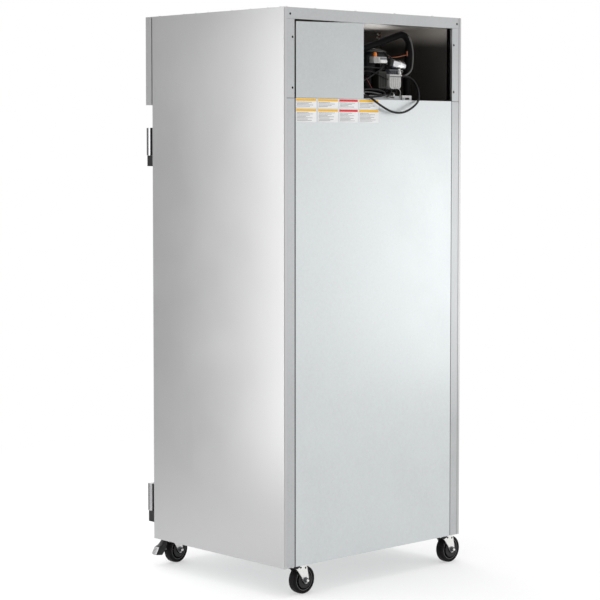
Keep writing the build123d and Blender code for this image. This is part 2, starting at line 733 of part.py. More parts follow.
def caster_wheel(name):
    """Tyre and hub about the axle."""
    half = WHEEL_WIDE / 2
    tyre = rod_y(-half, half, TRAIL, WHEEL_R, WHEEL_R)
    tyre = fillet(tyre.edges(), 7.0)
    tyre -= rod_y(-half - 1.0, half + 1.0, TRAIL, WHEEL_R, 37.0)
    web = rod_y(-9.0, 9.0, TRAIL, WHEEL_R, 37.0)
    hub = rod_y(-half - 1.5, half + 1.5, TRAIL, WHEEL_R, 12.0)
    core = web + hub - rod_y(-30.0, 30.0, TRAIL, WHEEL_R, AXLE_R + RUNNING)
    return placed(name, unit([tyre, core]))


def brake_pedal(name):
    """The toe lever that stands out from its pivot, with the shoe beside the wheel."""
    half = FORK_GAP - 0.5
    side = Polyline(
        (-11.0, 99.0), (-19.0, 101.0), (-46.0, 80.0), (-62.0, 75.0), (-78.0, 50.0),
        (-73.0, 46.0), (-46.0, 42.0), (-31.0, 55.0), (-17.0, 89.0), close=True,
    )  # fmt: skip
    sheet = Plane(origin=(0, -12.0, 0), x_dir=(1, 0, 0), z_dir=(0, -1, 0)) * make_face(side)
    lever = extrude(sheet, amount=-24.0)
    lever += rod_y(-half, half, BRAKE_X, BRAKE_Z, 5.0)
    lever += rod_y(-FORK_GAP - FORK_SHEET, FORK_GAP + FORK_SHEET, BRAKE_X, BRAKE_Z, BRAKE_PIN_R)
    lever += block(-32.0, -18.0, -9.0, 9.0, 58.0, 64.0)
    return placed(name, lever)


# --------------------------------------------------------- small pieces, cord


def panel_screws():
    """Low round heads along the edges of the top panel."""
    screws = []
    for side in (-1, 1):
        for y in (-290.0, -150.0, -82.0, -12.0, 120.0, 220.0, 312.0, 377.0):
            screws.append(rod_z(TOP, TOP + 2.5, side * 446.0, y, 4.5))
    for x in (-300.0, -100.0, 100.0, 300.0, 436.0):
        screws.append(rod_z(TOP, TOP + 2.5, x, BACK - 8.0, 4.5))
    return unit(screws)


def cord_gland():
    """The tapered strain relief, its thick end let into the relay box."""
    first, second = (Vector(*point) for point in cord_route()[:2])
    seat = Plane(origin=first, z_dir=second - first)
    relief = seat * Pos(0, 0, GLAND_LONG / 2) * Cone(8.0, 5.2, GLAND_LONG)
    return relief - seat * Cylinder(CORD_D / 2, 3 * GLAND_LONG)


def cord_route():
    """Points of the free cord, from the relay box out over the sill and back in."""
    return [
        (-164.0, 350.0, 1849.0),
        (-202.0, 358.0, 1855.0),
        (-234.0, 367.0, 1840.0),
        (-246.0, 378.0, 1808.0),
        (-234.0, 397.0, 1780.0),
        (-206.0, 418.0, 1757.0),
        (-168.0, 427.0, 1735.0),
        (-120.0, 427.0, 1715.0),
        (-68.0, 426.0, 1715.0),
        (-20.0, 425.0, 1732.0),
        (18.0, 421.0, 1753.0),
        (46.0, 405.0, 1778.0),
        (84.0, 386.0, 1779.0),
        (128.0, 371.0, 1769.0),
        (174.0, 364.0, 1768.0),
        (219.0, 362.0, 1768.0),
        (COIL_X, COIL_Y + COIL_MID_R, 1768.2),
    ]


def arc_radii(points):
    """0.45 of the shorter run at each corner, over the tangent of half its turn."""
    radii = []
    for a, b, c in zip(points, points[1:], points[2:]):
        into, out = Vector(*b) - Vector(*a), Vector(*c) - Vector(*b)
        turn = math.radians(into.get_angle(out))
        radii.append(0.45 * min(into.length, out.length) / math.tan(turn / 2))
    return radii


def power_cord():
    """The cord's stretch outside the coil."""
    points = cord_route()
    radii = arc_radii(points)
    cord = tube(points, radii, CORD_D / 2)
    path = FilletPolyline(*points, radius=radii)
    print("cord radii", [round(r) for r in radii])
    print("cord length", round(path.length), "volume", round(cord.volume))
    print("section x length", round(math.pi * (CORD_D / 2) ** 2 * path.length))
    return cord


def cord_coil():
    """The outer shape of the rest of the cord, wound flat on the deck."""
    r0, r1 = COIL_MID_R - COIL_WIDE / 2, COIL_MID_R + COIL_WIDE / 2
    ring = rod_z(DECK + 0.5, DECK + 0.5 + COIL_TALL, COIL_X, COIL_Y, r1)
    ring -= rod_z(DECK, DECK + 2.0 + COIL_TALL, COIL_X, COIL_Y, r0)
    return ring


def power_plug():
    """A moulded three-pin plug that lies beside the coil."""
    x, z = COIL_X + COIL_MID_R, DECK + 13.0
    front, back = COIL_Y - 89.0, COIL_Y - 53.0
    body = block(x - 14.0, x + 14.0, front, back, z - 12.5, z + 12.5)
    body = fillet(body.edges().filter_by(Axis.Y), 6.0)
    relief = Plane(origin=(x, back, z), z_dir=(0, 1, 0)) * Pos(0, 0, 12.0) * Cone(8.0, 5.0, 24.0)
    plug = body + relief
    for dx in (-6.3, 6.3):
        plug += block(x + dx - 0.8, x + dx + 0.8, front - 16.0, front, z, z + 6.5)
    return plug + rod_y(front - 18.0, front, x, z - 6.0, 2.4)


NODES = {
    "side_panel_right": side_panel,
    "rear_stiles": rear_stiles,
    "rear_top_rail": rear_top_rail,
    "back_panel": back_panel,
    "service_cover": service_cover,
    "top_panel": top_panel,
    "base_pan": base_pan,
    "door_frame": door_frame,
    "foam_insulation": foam_insulation,
    "cabin_liner": cabin_liner,
    "compartment_lining": compartment_lining,
    "pilasters": pilasters,
    "pan_slides": pan_slides,
    "evaporator_housing": evaporator_housing,
    "evaporator_coil": evaporator_coil,
    "evaporator_fan_blade": evaporator_fan_blade,
    "evaporator_fan_motor": evaporator_fan_motor,
    "heater_element": heater_element,
    "water_pan": water_pan,
    "condensing_base": condensing_base,
    "compressor": compressor,
    "compressor_feet": compressor_feet,
    "terminal_box": terminal_box,
    "run_capacitor": run_capacitor,
    "relay_box": relay_box,
    "condenser_coil": condenser_coil,
    "fan_partition": fan_partition,
    "condenser_fan_blade": condenser_fan_blade,
    "condenser_fan_motor": condenser_fan_motor,
    "suction_line": suction_line,
    "copper_lines": copper_lines,
    "hood_panel": hood_panel,
    "hood_brackets": hood_brackets,
    "control_panel": control_panel,
    "power_switch": power_switch,
    "door_skin": door_skin,
    "door_foam": door_foam,
    "door_inner_panel": door_inner_panel,
    "door_gasket": door_gasket,
    "door_handle": door_handle,
    "door_lock": door_lock,
    "hinge_straps": hinge_straps,
    "hinge_blocks": hinge_blocks,
    "caster_plates": caster_plates,
    "panel_screws": panel_screws,
    "cord_gland": cord_gland,
    "power_cord": power_cord,
    "cord_coil": cord_coil,
    "power_plug": power_plug,
}


def main():
    os.makedirs("parts", exist_ok=True)
    for name, make in NODES.items():
        export_step(make(), f"parts/{name}.step")
    export_step(mirrored(side_panel()), "parts/side_panel_left.step")
    for name in CASTERS:
        export_step(caster_fork(name), f"parts/caster_fork_{name}.step")
        export_step(caster_wheel(name), f"parts/caster_wheel_{name}.step")
    for name in BRAKED:
        export_step(brake_pedal(name), f"parts/brake_pedal_{name}.step")


main()
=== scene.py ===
"""Looks of the proofing cabinet around its CAD frame. P(), outlines and profiles are in mm."""

import math

import bmesh
import bpy
from mathutils import Matrix, Vector


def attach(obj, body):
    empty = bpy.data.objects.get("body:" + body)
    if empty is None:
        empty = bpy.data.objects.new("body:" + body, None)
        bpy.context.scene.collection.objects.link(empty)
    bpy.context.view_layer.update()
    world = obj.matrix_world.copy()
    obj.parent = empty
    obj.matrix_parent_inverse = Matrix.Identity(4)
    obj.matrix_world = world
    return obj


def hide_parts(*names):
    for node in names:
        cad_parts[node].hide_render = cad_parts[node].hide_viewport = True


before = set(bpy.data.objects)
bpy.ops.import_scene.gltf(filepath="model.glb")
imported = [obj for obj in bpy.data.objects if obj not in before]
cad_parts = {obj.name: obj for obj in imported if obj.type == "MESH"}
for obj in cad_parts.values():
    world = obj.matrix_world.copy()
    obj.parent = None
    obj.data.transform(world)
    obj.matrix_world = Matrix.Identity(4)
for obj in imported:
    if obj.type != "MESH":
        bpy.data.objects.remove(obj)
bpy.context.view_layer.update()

MM = 0.001
UP = Vector((0, 0, 1))
ALONG_X = Vector((1, 0, 0))
ALONG_Y = Vector((0, 1, 0))


def P(x, y, z):
    """A place given in mm."""
    return Vector((x, y, z)) * MM


# ------------------------------------------------------------ camera and light

CAMERA_AT = Vector((4.9232, 5.3065, 1.5979))
CAMERA_YAW = math.radians(42.84)
CAMERA_PITCH = math.radians(-3.213)
CAMERA_SHIFT = -0.08  # small, as the views from other sides keep it
CAMERA_FAR = 100.0
SENSOR_MM = 36.0
FOCAL_PX, PICTURE_PX = 1907.5, 600
LENS_MM = FOCAL_PX / PICTURE_PX * SENSOR_MM

LIGHTS = (  # name, place, target, size, watts
    ("key_side", (1.5, -0.22, 1.24), (0.45, -0.2, 1.25), (1.05, 2.1), 17),
    ("key_rear", (-1.5, 1.5, 1.15), (-0.3, 0.41, 1.45), (0.7, 1.2), 3.0),
    ("compartment_fill", (-0.15, 0.2, 1.975), (-0.15, 0.205, 2.04), (0.26, 0.12), 0.22),
    ("overhead", (0, 0, 4.6), (0, 0.01, 0), (3.0, 3.0), 60),
    ("front", (-1.2, -3.6, 2.4), (0, -0.4, 1.1), (2.0, 2.0), 24),
)

DIM_FROM, DIM_TO = 0.25, 0.82  # the share of +X in a direction, where the room dims
DIMMEST = 0.36  # the room's light towards +X

FLOOR_RINGS = (0, 1000, 3000, 9000, 40000)
GLOW_FROM, GLOW_TO = 0.6, 3.2  # metres from the cabinet, where the floor's glow grows
LEAST_GLOW = 0.45  # the glow's share next to the cabinet
LEVEL_FROM, LEVEL_TO = 1.2, 4.5  # metres, where the glow takes on the room's dimming


def make_camera():
    data = bpy.data.cameras.new("camera")
    data.sensor_width = SENSOR_MM
    data.lens = LENS_MM
    data.shift_y = CAMERA_SHIFT
    data.clip_end = CAMERA_FAR
    camera = bpy.data.objects.new("camera", data)
    look = Vector(
        (
            -math.sin(CAMERA_YAW) * math.cos(CAMERA_PITCH),
            -math.cos(CAMERA_YAW) * math.cos(CAMERA_PITCH),
            math.sin(CAMERA_PITCH),
        )
    )
    camera.location = CAMERA_AT
    camera.rotation_mode = "QUATERNION"
    camera.rotation_quaternion = look.to_track_quat("-Z", "Y")
    bpy.context.scene.collection.objects.link(camera)
    bpy.context.scene.camera = camera


def area_light(name, at, target, size, watts):
    data = bpy.data.lights.new(name, "AREA")
    data.shape = "RECTANGLE"
    data.size, data.size_y = size
    data.energy = watts
    light = bpy.data.objects.new(name, data)
    light.location = at
    light.rotation_mode = "QUATERNION"
    light.rotation_quaternion = (Vector(target) - Vector(at)).to_track_quat("-Z", "Y")
    light.visible_camera = False
    bpy.context.scene.collection.objects.link(light)


def eased(nodes, links, value, from_min, from_max, to_min=0.0, to_max=1.0):
    """A value taken smoothly from one range to another."""
    ease = nodes.new("ShaderNodeMapRange")
    ease.interpolation_type = "SMOOTHSTEP"
    ease.inputs["From Min"].default_value = from_min
    ease.inputs["From Max"].default_value = from_max
    ease.inputs["To Min"].default_value = to_min
    ease.inputs["To Max"].default_value = to_max
    links.new(value, ease.inputs["Value"])
    return ease.outputs["Result"]


def room_light(nodes, links, direction):
    """The room's light in a direction: full, but dimmer towards +X."""
    split = nodes.new("ShaderNodeSeparateXYZ")
    links.new(direction, split.inputs["Vector"])
    return eased(nodes, links, split.outputs["X"], DIM_FROM, DIM_TO, 1.0, DIMMEST)


def make_studio():
    """A pale room, dimmer towards +X, with soft lights near the side and the back."""
    world = bpy.data.worlds.new("studio")
    bpy.context.scene.world = world
    bpy.context.scene.view_settings.view_transform = "Standard"
    world.use_nodes = True
    nodes, links = world.node_tree.nodes, world.node_tree.links
    nodes["Background"].inputs["Color"].default_value = (1, 1, 1, 1)
    heading = nodes.new("ShaderNodeTexCoord").outputs["Generated"]
    links.new(room_light(nodes, links, heading), nodes["Background"].inputs["Strength"])
    for light in LIGHTS:
        area_light(*light)
    floor = lathe([(radius, 0) for radius in FLOOR_RINGS], 96)
    light_far_floor(FLOOR)
    Piece("studio_floor").add(floor, FLOOR).link()


def light_far_floor(material):
    """The floor glows far from the cabinet, as bright as the room in the same direction."""
    nodes, links = material.node_tree.nodes, material.node_tree.links
    place = nodes.new("ShaderNodeTexCoord").outputs["Object"]
    far = nodes.new("ShaderNodeVectorMath")
    far.operation = "LENGTH"
    links.new(place, far.inputs[0])
    share = eased(nodes, links, far.outputs["Value"], GLOW_FROM, GLOW_TO, LEAST_GLOW)
    heading = nodes.new("ShaderNodeVectorMath")
    heading.operation = "NORMALIZE"
    links.new(place, heading.inputs[0])
    level = nodes.new("ShaderNodeMix")
    level.inputs["A"].default_value = 1.0
    reach = eased(nodes, links, far.outputs["Value"], LEVEL_FROM, LEVEL_TO)
    links.new(reach, level.inputs["Factor"])
    links.new(room_light(nodes, links, heading.outputs["Vector"]), level.inputs["B"])
    glow = nodes.new("ShaderNodeEmission")
    links.new(level.outputs["Result"], glow.inputs["Strength"])
    mix = nodes.new("ShaderNodeMixShader")
    links.new(share, mix.inputs["Fac"])
    links.new(nodes["Principled BSDF"].outputs["BSDF"], mix.inputs[1])
    links.new(glow.outputs["Emission"], mix.inputs[2])
    links.new(mix.outputs["Shader"], nodes["Material Output"].inputs["Surface"])


# -------------------------------------------------------------------- materials

NOISE_LOW, NOISE_HIGH = 0.3, 0.7  # between these lie nearly all values of a noise
FINE_DETAIL, BROAD_DETAIL = 5.0, 4.0


def surface(
    name,
    colour,
    roughness,
    metallic=0.0,
    grain=(1, 1, 1),
    fine=400.0,
    broad=8.0,
    tone=0.06,
    spread=0.06,
    bump=0.15,
    depth=0.0002,
    cells=0.0,
    coat=0.0,
    specular=0.5,
):
    """A material whose colour, roughness and relief vary by a fine and a broad noise."""
    material = bpy.data.materials.new(name)
    material.use_nodes = True
    nodes, links = material.node_tree.nodes, material.node_tree.links
    shader = nodes["Principled BSDF"]
    shader.inputs["Metallic"].default_value = metallic
    shader.inputs["Coat Weight"].default_value = coat
    shader.inputs["Specular IOR Level"].default_value = specular
    place = nodes.new("ShaderNodeTexCoord")
    stretch = nodes.new("ShaderNodeMapping")
    stretch.inputs["Scale"].default_value = grain
    links.new(place.outputs["Object"], stretch.inputs["Vector"])

    fine_noise = nodes.new("ShaderNodeTexNoise")
    fine_noise.inputs["Scale"].default_value = fine
    fine_noise.inputs["Detail"].default_value = FINE_DETAIL
    links.new(stretch.outputs["Vector"], fine_noise.inputs["Vector"])
    broad_noise = nodes.new("ShaderNodeTexNoise")
    broad_noise.inputs["Scale"].default_value = broad
    broad_noise.inputs["Detail"].default_value = BROAD_DETAIL
    links.new(place.outputs["Object"], broad_noise.inputs["Vector"])

    height = fine_noise.outputs["Fac"]
    if cells:
        voronoi = nodes.new("ShaderNodeTexVoronoi")
        voronoi.inputs["Scale"].default_value = cells
        links.new(place.outputs["Object"], voronoi.inputs["Vector"])
        blend = nodes.new("ShaderNodeMix")
        blend.inputs["Factor"].default_value = 0.5
        links.new(fine_noise.outputs["Fac"], blend.inputs["A"])
        links.new(voronoi.outputs["Color"], blend.inputs["B"])
        height = blend.outputs["Result"]
    both = nodes.new("ShaderNodeMix")
    both.inputs["Factor"].default_value = 0.5
    links.new(height, both.inputs["A"])
    links.new(broad_noise.outputs["Fac"], both.inputs["B"])

    ramp = nodes.new("ShaderNodeValToRGB")
    ramp.color_ramp.elements[0].position = NOISE_LOW
    ramp.color_ramp.elements[1].position = NOISE_HIGH
    for element, factor in zip(ramp.color_ramp.elements, (1 - tone, 1 + tone)):
        element.color = [min(1.0, c * factor) for c in colour] + [1.0]
    links.new(both.outputs["Result"], ramp.inputs["Fac"])
    links.new(ramp.outputs["Color"], shader.inputs["Base Color"])

    rough = nodes.new("ShaderNodeMapRange")
    rough.inputs["From Min"].default_value = NOISE_LOW
    rough.inputs["From Max"].default_value = NOISE_HIGH
    rough.inputs["To Min"].default_value = max(0.02, roughness - spread)
    rough.inputs["To Max"].default_value = min(1.0, roughness + spread)
    links.new(both.outputs["Result"], rough.inputs["Value"])
    links.new(rough.outputs["Result"], shader.inputs["Roughness"])

    relief = nodes.new("ShaderNodeBump")
    relief.inputs["Strength"].default_value = bump
    relief.inputs["Distance"].default_value = depth
    links.new(height, relief.inputs["Height"])
    links.new(relief.outputs["Normal"], shader.inputs["Normal"])
    return material


def paint_light_on_top(material, colour, low, high):
    """Painted light: between two heights, in metres, a material's colour turns into another, lit
    colour that stands in for light falling on the upper part.
    """
    nodes, links = material.node_tree.nodes, material.node_tree.links
    shader = nodes["Principled BSDF"]
    below = shader.inputs["Base Color"].links[0].from_socket
    place = nodes.new("ShaderNodeTexCoord")
    split = nodes.new("ShaderNodeSeparateXYZ")
    links.new(place.outputs["Object"], split.inputs["Vector"])
    blend = nodes.new("ShaderNodeMix")
    blend.data_type = "RGBA"
    links.new(eased(nodes, links, split.outputs["Z"], low, high), blend.inputs["Factor"])
    links.new(below, blend.inputs["A"])
    blend.inputs["B"].default_value = (*colour, 1)
    links.new(blend.outputs["Result"], shader.inputs["Base Color"])


BRUSH_VERTICAL = (1, 1, 0.012)
BRUSH_ALONG_X = (0.012, 1, 1)
SPANGLE = (1, 1, 0.3)

FLOOR = surface("studio_paper", (0.92, 0.92, 0.92), 0.9, fine=30, tone=0.01, bump=0.02)
STAINLESS = surface(
    "stainless_brushed", (0.5, 0.5, 0.504), 0.38, 0.95, BRUSH_VERTICAL, 900, 3, 0.025, 0.05, 0.05
)
STAINLESS_SATIN = surface(
    "stainless_satin", (0.72, 0.72, 0.73), 0.3, 1.0, BRUSH_VERTICAL, 1200, 9, 0.05, 0.06, 0.08
)
GALVANISED = surface(
    "galvanised", (0.60, 0.628, 0.636), 0.42, 0.9, SPANGLE, 260, 5, 0.05, 0.07, 0.06, cells=130
)
COVER_SHEET = surface(
    "cover_sheet", (0.50, 0.523, 0.53), 0.42, 0.9, SPANGLE, 260, 5, 0.06, 0.07, 0.06, cells=130
)
# Painted shade: dark discs laid in holes stand in for the shade inside them.
HOLE_DARK = surface("hole_shadow", (0.006, 0.006, 0.006), 0.8, fine=500, tone=0.2, specular=0.1)
# Painted shade: a dark strip laid in the gaps by the back panel stands in for the shade in them.
SEAM_SHADE = surface(
    "painted_seam_shade", (0.10, 0.102, 0.104), 0.55, fine=400, broad=20, tone=0.25, bump=0.3
)
GALVANISED_RAIL = surface(
    "galvanised_rail", (0.47, 0.482, 0.486), 0.42, 0.9, SPANGLE, 300, 9, 0.06, 0.07, 0.08,
    cells=150,
)
LINER = surface(
    "liner_satin", (0.74, 0.75, 0.76), 0.35, 0.9, BRUSH_VERTICAL, 700, 4, 0.04, 0.05, 0.06
)
# Painted shade: the lining's dark base colour stands in for the shade inside the compartment.
LINING_PAINTED_LIGHT = surface(
    "lining_painted_shade_and_light", (0.09, 0.083, 0.076), 0.33, 0.5, (0.2, 1, 1), 300, 6, 0.12, 0.08, 0.08
)
# Painted light: towards the ceiling the lining turns lighter, standing in for the light that falls
# on the compartment's top.
paint_light_on_top(LINING_PAINTED_LIGHT, (0.52, 0.49, 0.455), 1.965, 2.03)
# Painted shade: the fan partition's dark colour stands in for the shade at the back of the
# compartment.
SHROUD_PAINTED_SHADE = surface("shroud_painted_shade", (0.075, 0.068, 0.062), 0.36, 0.6, fine=300, broad=6, tone=0.15)
FRAME_PLASTIC = surface("breaker_strip", (0.72, 0.73, 0.74), 0.45, fine=900, tone=0.02, bump=0.08)
GASKET = surface("gasket_vinyl", (0.045, 0.045, 0.05), 0.6, fine=700, broad=20, tone=0.2, bump=0.2)
CHROME = surface(
    "hinge_chrome", (0.46, 0.46, 0.47), 0.16, 1.0, fine=500, broad=30, tone=0.05, bump=0.03
)
BLACK_PLASTIC = surface(
    "black_plastic", (0.013, 0.013, 0.014), 0.42, fine=1500, broad=40, tone=0.25, bump=0.2,
    specular=0.25,
)
BLACK_ENAMEL = surface(
    "compressor_enamel", (0.009, 0.009, 0.011), 0.24, fine=260, broad=25, tone=0.3, spread=0.1,
    bump=0.12, depth=0.0004, coat=0.05, specular=0.18,
)
GREY_PLASTIC = surface(
    "grey_moulding", (0.42, 0.43, 0.43), 0.48, fine=1100, broad=60, tone=0.1, bump=0.25
)
PALE_PLASTIC = surface(
    "pale_moulding", (0.50, 0.50, 0.49), 0.4, fine=900, broad=80, tone=0.12, bump=0.2
)
ZINC = surface(
    "zinc_plate", (0.80, 0.80, 0.78), 0.34, 0.95, fine=220, broad=45, tone=0.08, spread=0.12,
    bump=0.1, depth=0.0003,
)
COPPER = surface(
    "copper_tube", (0.27, 0.10, 0.055), 0.34, 1.0, fine=160, broad=60, tone=0.3, spread=0.12
)
VALVE_BRASS = surface("valve_metal", (0.62, 0.36, 0.28), 0.3, 1.0, fine=300, broad=90, tone=0.2)
FIN_ALUMINIUM = surface(
    "fin_aluminium", (0.72, 0.73, 0.74), 0.38, 1.0, BRUSH_VERTICAL, 500, 12, 0.1, 0.08, 0.1
)
CAN_ALUMINIUM = surface(
    "capacitor_can", (0.62, 0.62, 0.64), 0.16, 1.0, BRUSH_ALONG_X, 900, 30, 0.06, 0.06, 0.06
)
TYRE = surface(
    "tyre_rubber", (0.005, 0.005, 0.0055), 0.52, fine=420, broad=55, tone=0.5, spread=0.14,
    bump=0.35, depth=0.0004, specular=0.1,
)
WHEEL_CORE = surface(
    "wheel_core", (0.003, 0.003, 0.0035), 0.36, fine=900, broad=70, tone=0.4, spread=0.1, bump=0.2,
    specular=0.1,
)
PIPE_FOAM = surface(
    "pipe_insulation", (0.003, 0.003, 0.0033), 0.62, fine=700, broad=24, tone=0.5, spread=0.12,
    bump=0.5, depth=0.0006, specular=0.1,
)
CORD_RUBBER = surface(
    "cord_jacket", (0.003, 0.003, 0.0033), 0.38, fine=1400, broad=18, tone=0.4, spread=0.08,
    bump=0.12, specular=0.25,
)
GREY_CABLE = surface(
    "grey_cable", (0.11, 0.11, 0.107), 0.42, fine=900, broad=30, tone=0.15, bump=0.1
)
FOAM = surface("rigid_foam", (0.72, 0.62, 0.36), 0.85, fine=300, tone=0.12, bump=0.6, depth=0.001)
STEEL = surface(
    "bare_steel", (0.60, 0.60, 0.61), 0.3, 1.0, BRUSH_ALONG_X, 700, 20, 0.08, 0.08, 0.08
)
GREY_RUBBER = surface(
    "worn_rubber", (0.085, 0.085, 0.087), 0.46, fine=420, broad=55, tone=0.35, spread=0.12,
    bump=0.25,
)
DARK_ZINC = surface("dark_fastener", (0.16, 0.165, 0.17), 0.34, 0.9, fine=400, broad=80, tone=0.2)
OLIVE_PLASTIC = surface(
    "overload_moulding", (0.012, 0.013, 0.009), 0.5, fine=900, broad=50, tone=0.25, bump=0.3,
    specular=0.3,
)
RELAY_GREY = surface(
    "relay_moulding", (0.47, 0.47, 0.46), 0.45, fine=1100, broad=90, tone=0.16, bump=0.3
)
SLATE_PLASTIC = surface("socket_moulding", (0.085, 0.09, 0.11), 0.4, fine=900, broad=60, tone=0.2)
DARK_TUBE = surface("painted_tube", (0.09, 0.09, 0.09), 0.36, 0.4, fine=500, broad=30, tone=0.2)
PALE_CABLE = surface("pale_lead", (0.40, 0.40, 0.39), 0.45, fine=900, broad=60, tone=0.1, bump=0.1)
RED_LEAD = surface("red_lead", (0.25, 0.045, 0.03), 0.45, fine=900, broad=60, tone=0.1, bump=0.1)
LAMP_AMBER = surface(
    "digit_amber", (0.16, 0.07, 0.02), 0.3, fine=900, tone=0.1, bump=0.02, coat=0.5
)
ORANGE = surface("orange_cap", (0.90, 0.23, 0.02), 0.4, fine=800, broad=60, tone=0.1, bump=0.15)
GLASS_BLACK = surface(
    "display_window", (0.004, 0.004, 0.006), 0.08, fine=60, tone=0.2, bump=0.01, coat=1.0
)
LAMP_GREEN = surface("lamp_green", (0.05, 0.55, 0.14), 0.25, fine=900, tone=0.1, coat=0.6)
LABEL_WHITE = surface(
    "label_white", (0.80, 0.80, 0.80), 0.42, fine=600, broad=30, tone=0.03, bump=0.05
)
LABEL_AMBER = surface(
    "label_amber", (0.90, 0.48, 0.0), 0.45, fine=500, broad=40, tone=0.06, bump=0.05
)
LABEL_RED = surface(
    "label_red", (0.72, 0.015, 0.015), 0.45, fine=500, broad=40, tone=0.06, bump=0.05
)
LABEL_GREY = surface(
    "label_grey", (0.16, 0.16, 0.17), 0.5, fine=500, broad=40, tone=0.1, bump=0.05
)


# --------------------------------------------------------------- mesh building

BEVEL_OVER = 0.6  # radians between two faces, for their edge to be bevelled
SHARP_OVER = math.radians(35)
UPRIGHT = Matrix.Rotation(math.pi / 2, 4, "X")  # an outline in X and Y stands up in X and Z


class Piece:
    """One visible piece, joined from solids that each have a material."""

    def __init__(self, name):
        self.name = name
        self.bm = bmesh.new()
        self.materials = []

    def add(self, part, material, bevel=0.0, segments=2, place=None):
        if bevel:
            edges = [
                edge for edge in part.edges
                if len(edge.link_faces) == 2 and edge.calc_face_angle(0) > BEVEL_OVER
            ]
            bmesh.ops.bevel(
                part, geom=edges, offset=bevel * MM, segments=segments, profile=0.5,
                affect="EDGES", clamp_overlap=True,
            )
        if material not in self.materials:
            self.materials.append(material)
        index = self.materials.index(material)
        for face in part.faces:
            face.material_index = index
        if place is not None:
            part.transform(place)
        mesh = bpy.data.meshes.new("part")
        part.to_mesh(mesh)
        part.free()
        self.bm.from_mesh(mesh)
        bpy.data.meshes.remove(mesh)
        return self

    def link(self):
        mesh = bpy.data.meshes.new(self.name)
        self.bm.to_mesh(mesh)
        self.bm.free()
        for material in self.materials:
            mesh.materials.append(material)
        mesh.polygons.foreach_set("use_smooth", [True] * len(mesh.polygons))
        mesh.set_sharp_from_angle(angle=SHARP_OVER)
        obj = bpy.data.objects.new(self.name, mesh)
        bpy.context.scene.collection.objects.link(obj)
        return obj

    def finish(self, body, slot, *nodes):
        obj = self.link()
        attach(obj, body)
        if nodes:
            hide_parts(*nodes)
        return obj


def brick(x0, x1, y0, y1, z0, z1):
    bm = bmesh.new()
    bmesh.ops.create_cube(bm, size=1.0)
    size = Vector((x1 - x0, y1 - y0, z1 - z0)) * MM
    centre = P((x0 + x1) / 2, (y0 + y1) / 2, (z0 + z1) / 2)
    bm.transform(Matrix.Translation(centre) @ Matrix.Diagonal((*size, 1)))
    return bm


def lathe(profile, steps=48, closed=False):
    """The solid that a profile of (radius, height) points makes round Z."""
    bm = bmesh.new()
    rings = []
    for radius, height in profile:
        if radius < 1e-6:
            rings.append([bm.verts.new((0, 0, height * MM))])
            continue
        turns = [2 * math.pi * i / steps for i in range(steps)]
        ring = [(radius * MM * math.cos(a), radius * MM * math.sin(a), height * MM) for a in turns]
        rings.append([bm.verts.new(co) for co in ring])
    pairs = list(zip(rings, rings[1:]))
    if closed:
        pairs.append((rings[-1], rings[0]))
    for low, high in pairs:
        for i in range(steps):
            j = (i + 1) % steps
            corners = [low[i % len(low)], low[j % len(low)]]
            corners += [high[j % len(high)], high[i % len(high)]]
            bm.faces.new(list(dict.fromkeys(corners)))
    bmesh.ops.recalc_face_normals(bm, faces=bm.faces)
    return bm


def prism(outline, depth):
    """A plate of that outline in X and Y, from z 0 to its depth."""
    bm = bmesh.new()
    low = [bm.verts.new((x * MM, y * MM, 0)) for x, y in outline]
    high = [bm.verts.new((x * MM, y * MM, depth * MM)) for x, y in outline]
    bm.faces.new(low)
    bm.faces.new(high)
    for i in range(len(outline)):
        j = (i + 1) % len(outline)
        bm.faces.new((low[i], low[j], high[j], high[i]))
    bmesh.ops.recalc_face_normals(bm, faces=bm.faces)
    return bm


def arc(x, y, radius, start, step, count):
    """Points round a centre, from a start angle on in equal steps, both in degrees."""
    turns = [math.radians(start + step * i) for i in range(count)]
    return [(x + radius * math.cos(a), y + radius * math.sin(a)) for a in turns]


def hexagon(radius):
    return arc(0, 0, radius, 0, 60, 6)


def facing(at, axis):
    """The place of a solid whose own Z is to point along an axis."""
    return Matrix.Translation(at) @ axis.to_track_quat("Z", "Y").to_matrix().to_4x4()


def nurbs(name, points, radius, material):
    """A round cord along a smooth line, with those points as its control points."""
    data = bpy.data.curves.new(name, "CURVE")
    data.dimensions = "3D"
    data.bevel_depth = radius * MM
    data.bevel_resolution = 5
    data.resolution_u = 10
    data.use_fill_caps = True
    spline = data.splines.new("NURBS")
    spline.points.add(len(points) - 1)
    for target, point in zip(spline.points, points):
        target.co = (*(Vector(point) * MM), 1)
    spline.order_u = 3
    spline.use_endpoint_u = True
    data.materials.append(material)
    obj = bpy.data.objects.new(name, data)
    bpy.context.scene.collection.objects.link(obj)
    return obj


def wire(name, radius, material, slot, points):
    """A short lead inside the compartment, fixed at both its ends."""
    obj = nurbs(name, points, radius, material)
    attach(obj, "cabinet")


# ------------------------------------------------------------------------ cord

CORD_R = 4.0
COIL = Vector((262.0, 318.0))
COIL_TURNS = (48, 40, 40, 48, 48, 40)  # radius of each turn, in the order it is wound
COIL_HEIGHTS = (1767.2, 1767.2, 1774.9, 1774.9, 1782.2, 1782.2)
COIL_MIDDLE = 1774.7
POINTS_PER_TURN = 12
PLUG_AT = (COIL.x + 44.0, COIL.y - 53.0, 1775.0)  # middle of its face on the cord's side
ROUTE = [
    (-164.0, 350.0, 1849.0),
    (-202.0, 358.0, 1855.0),
    (-234.0, 367.0, 1840.0),
    (-246.0, 378.0, 1808.0),
    (-234.0, 397.0, 1780.0),
    (-206.0, 418.0, 1757.0),
    (-168.0, 427.0, 1735.0),
    (-120.0, 427.0, 1715.0),
    (-68.0, 426.0, 1715.0),
    (-20.0, 425.0, 1732.0),
    (18.0, 421.0, 1753.0),
    (46.0, 405.0, 1778.0),
    (84.0, 386.0, 1779.0),
    (128.0, 371.0, 1769.0),
    (174.0, 364.0, 1768.0),
    (219.0, 362.0, 1768.0),
]


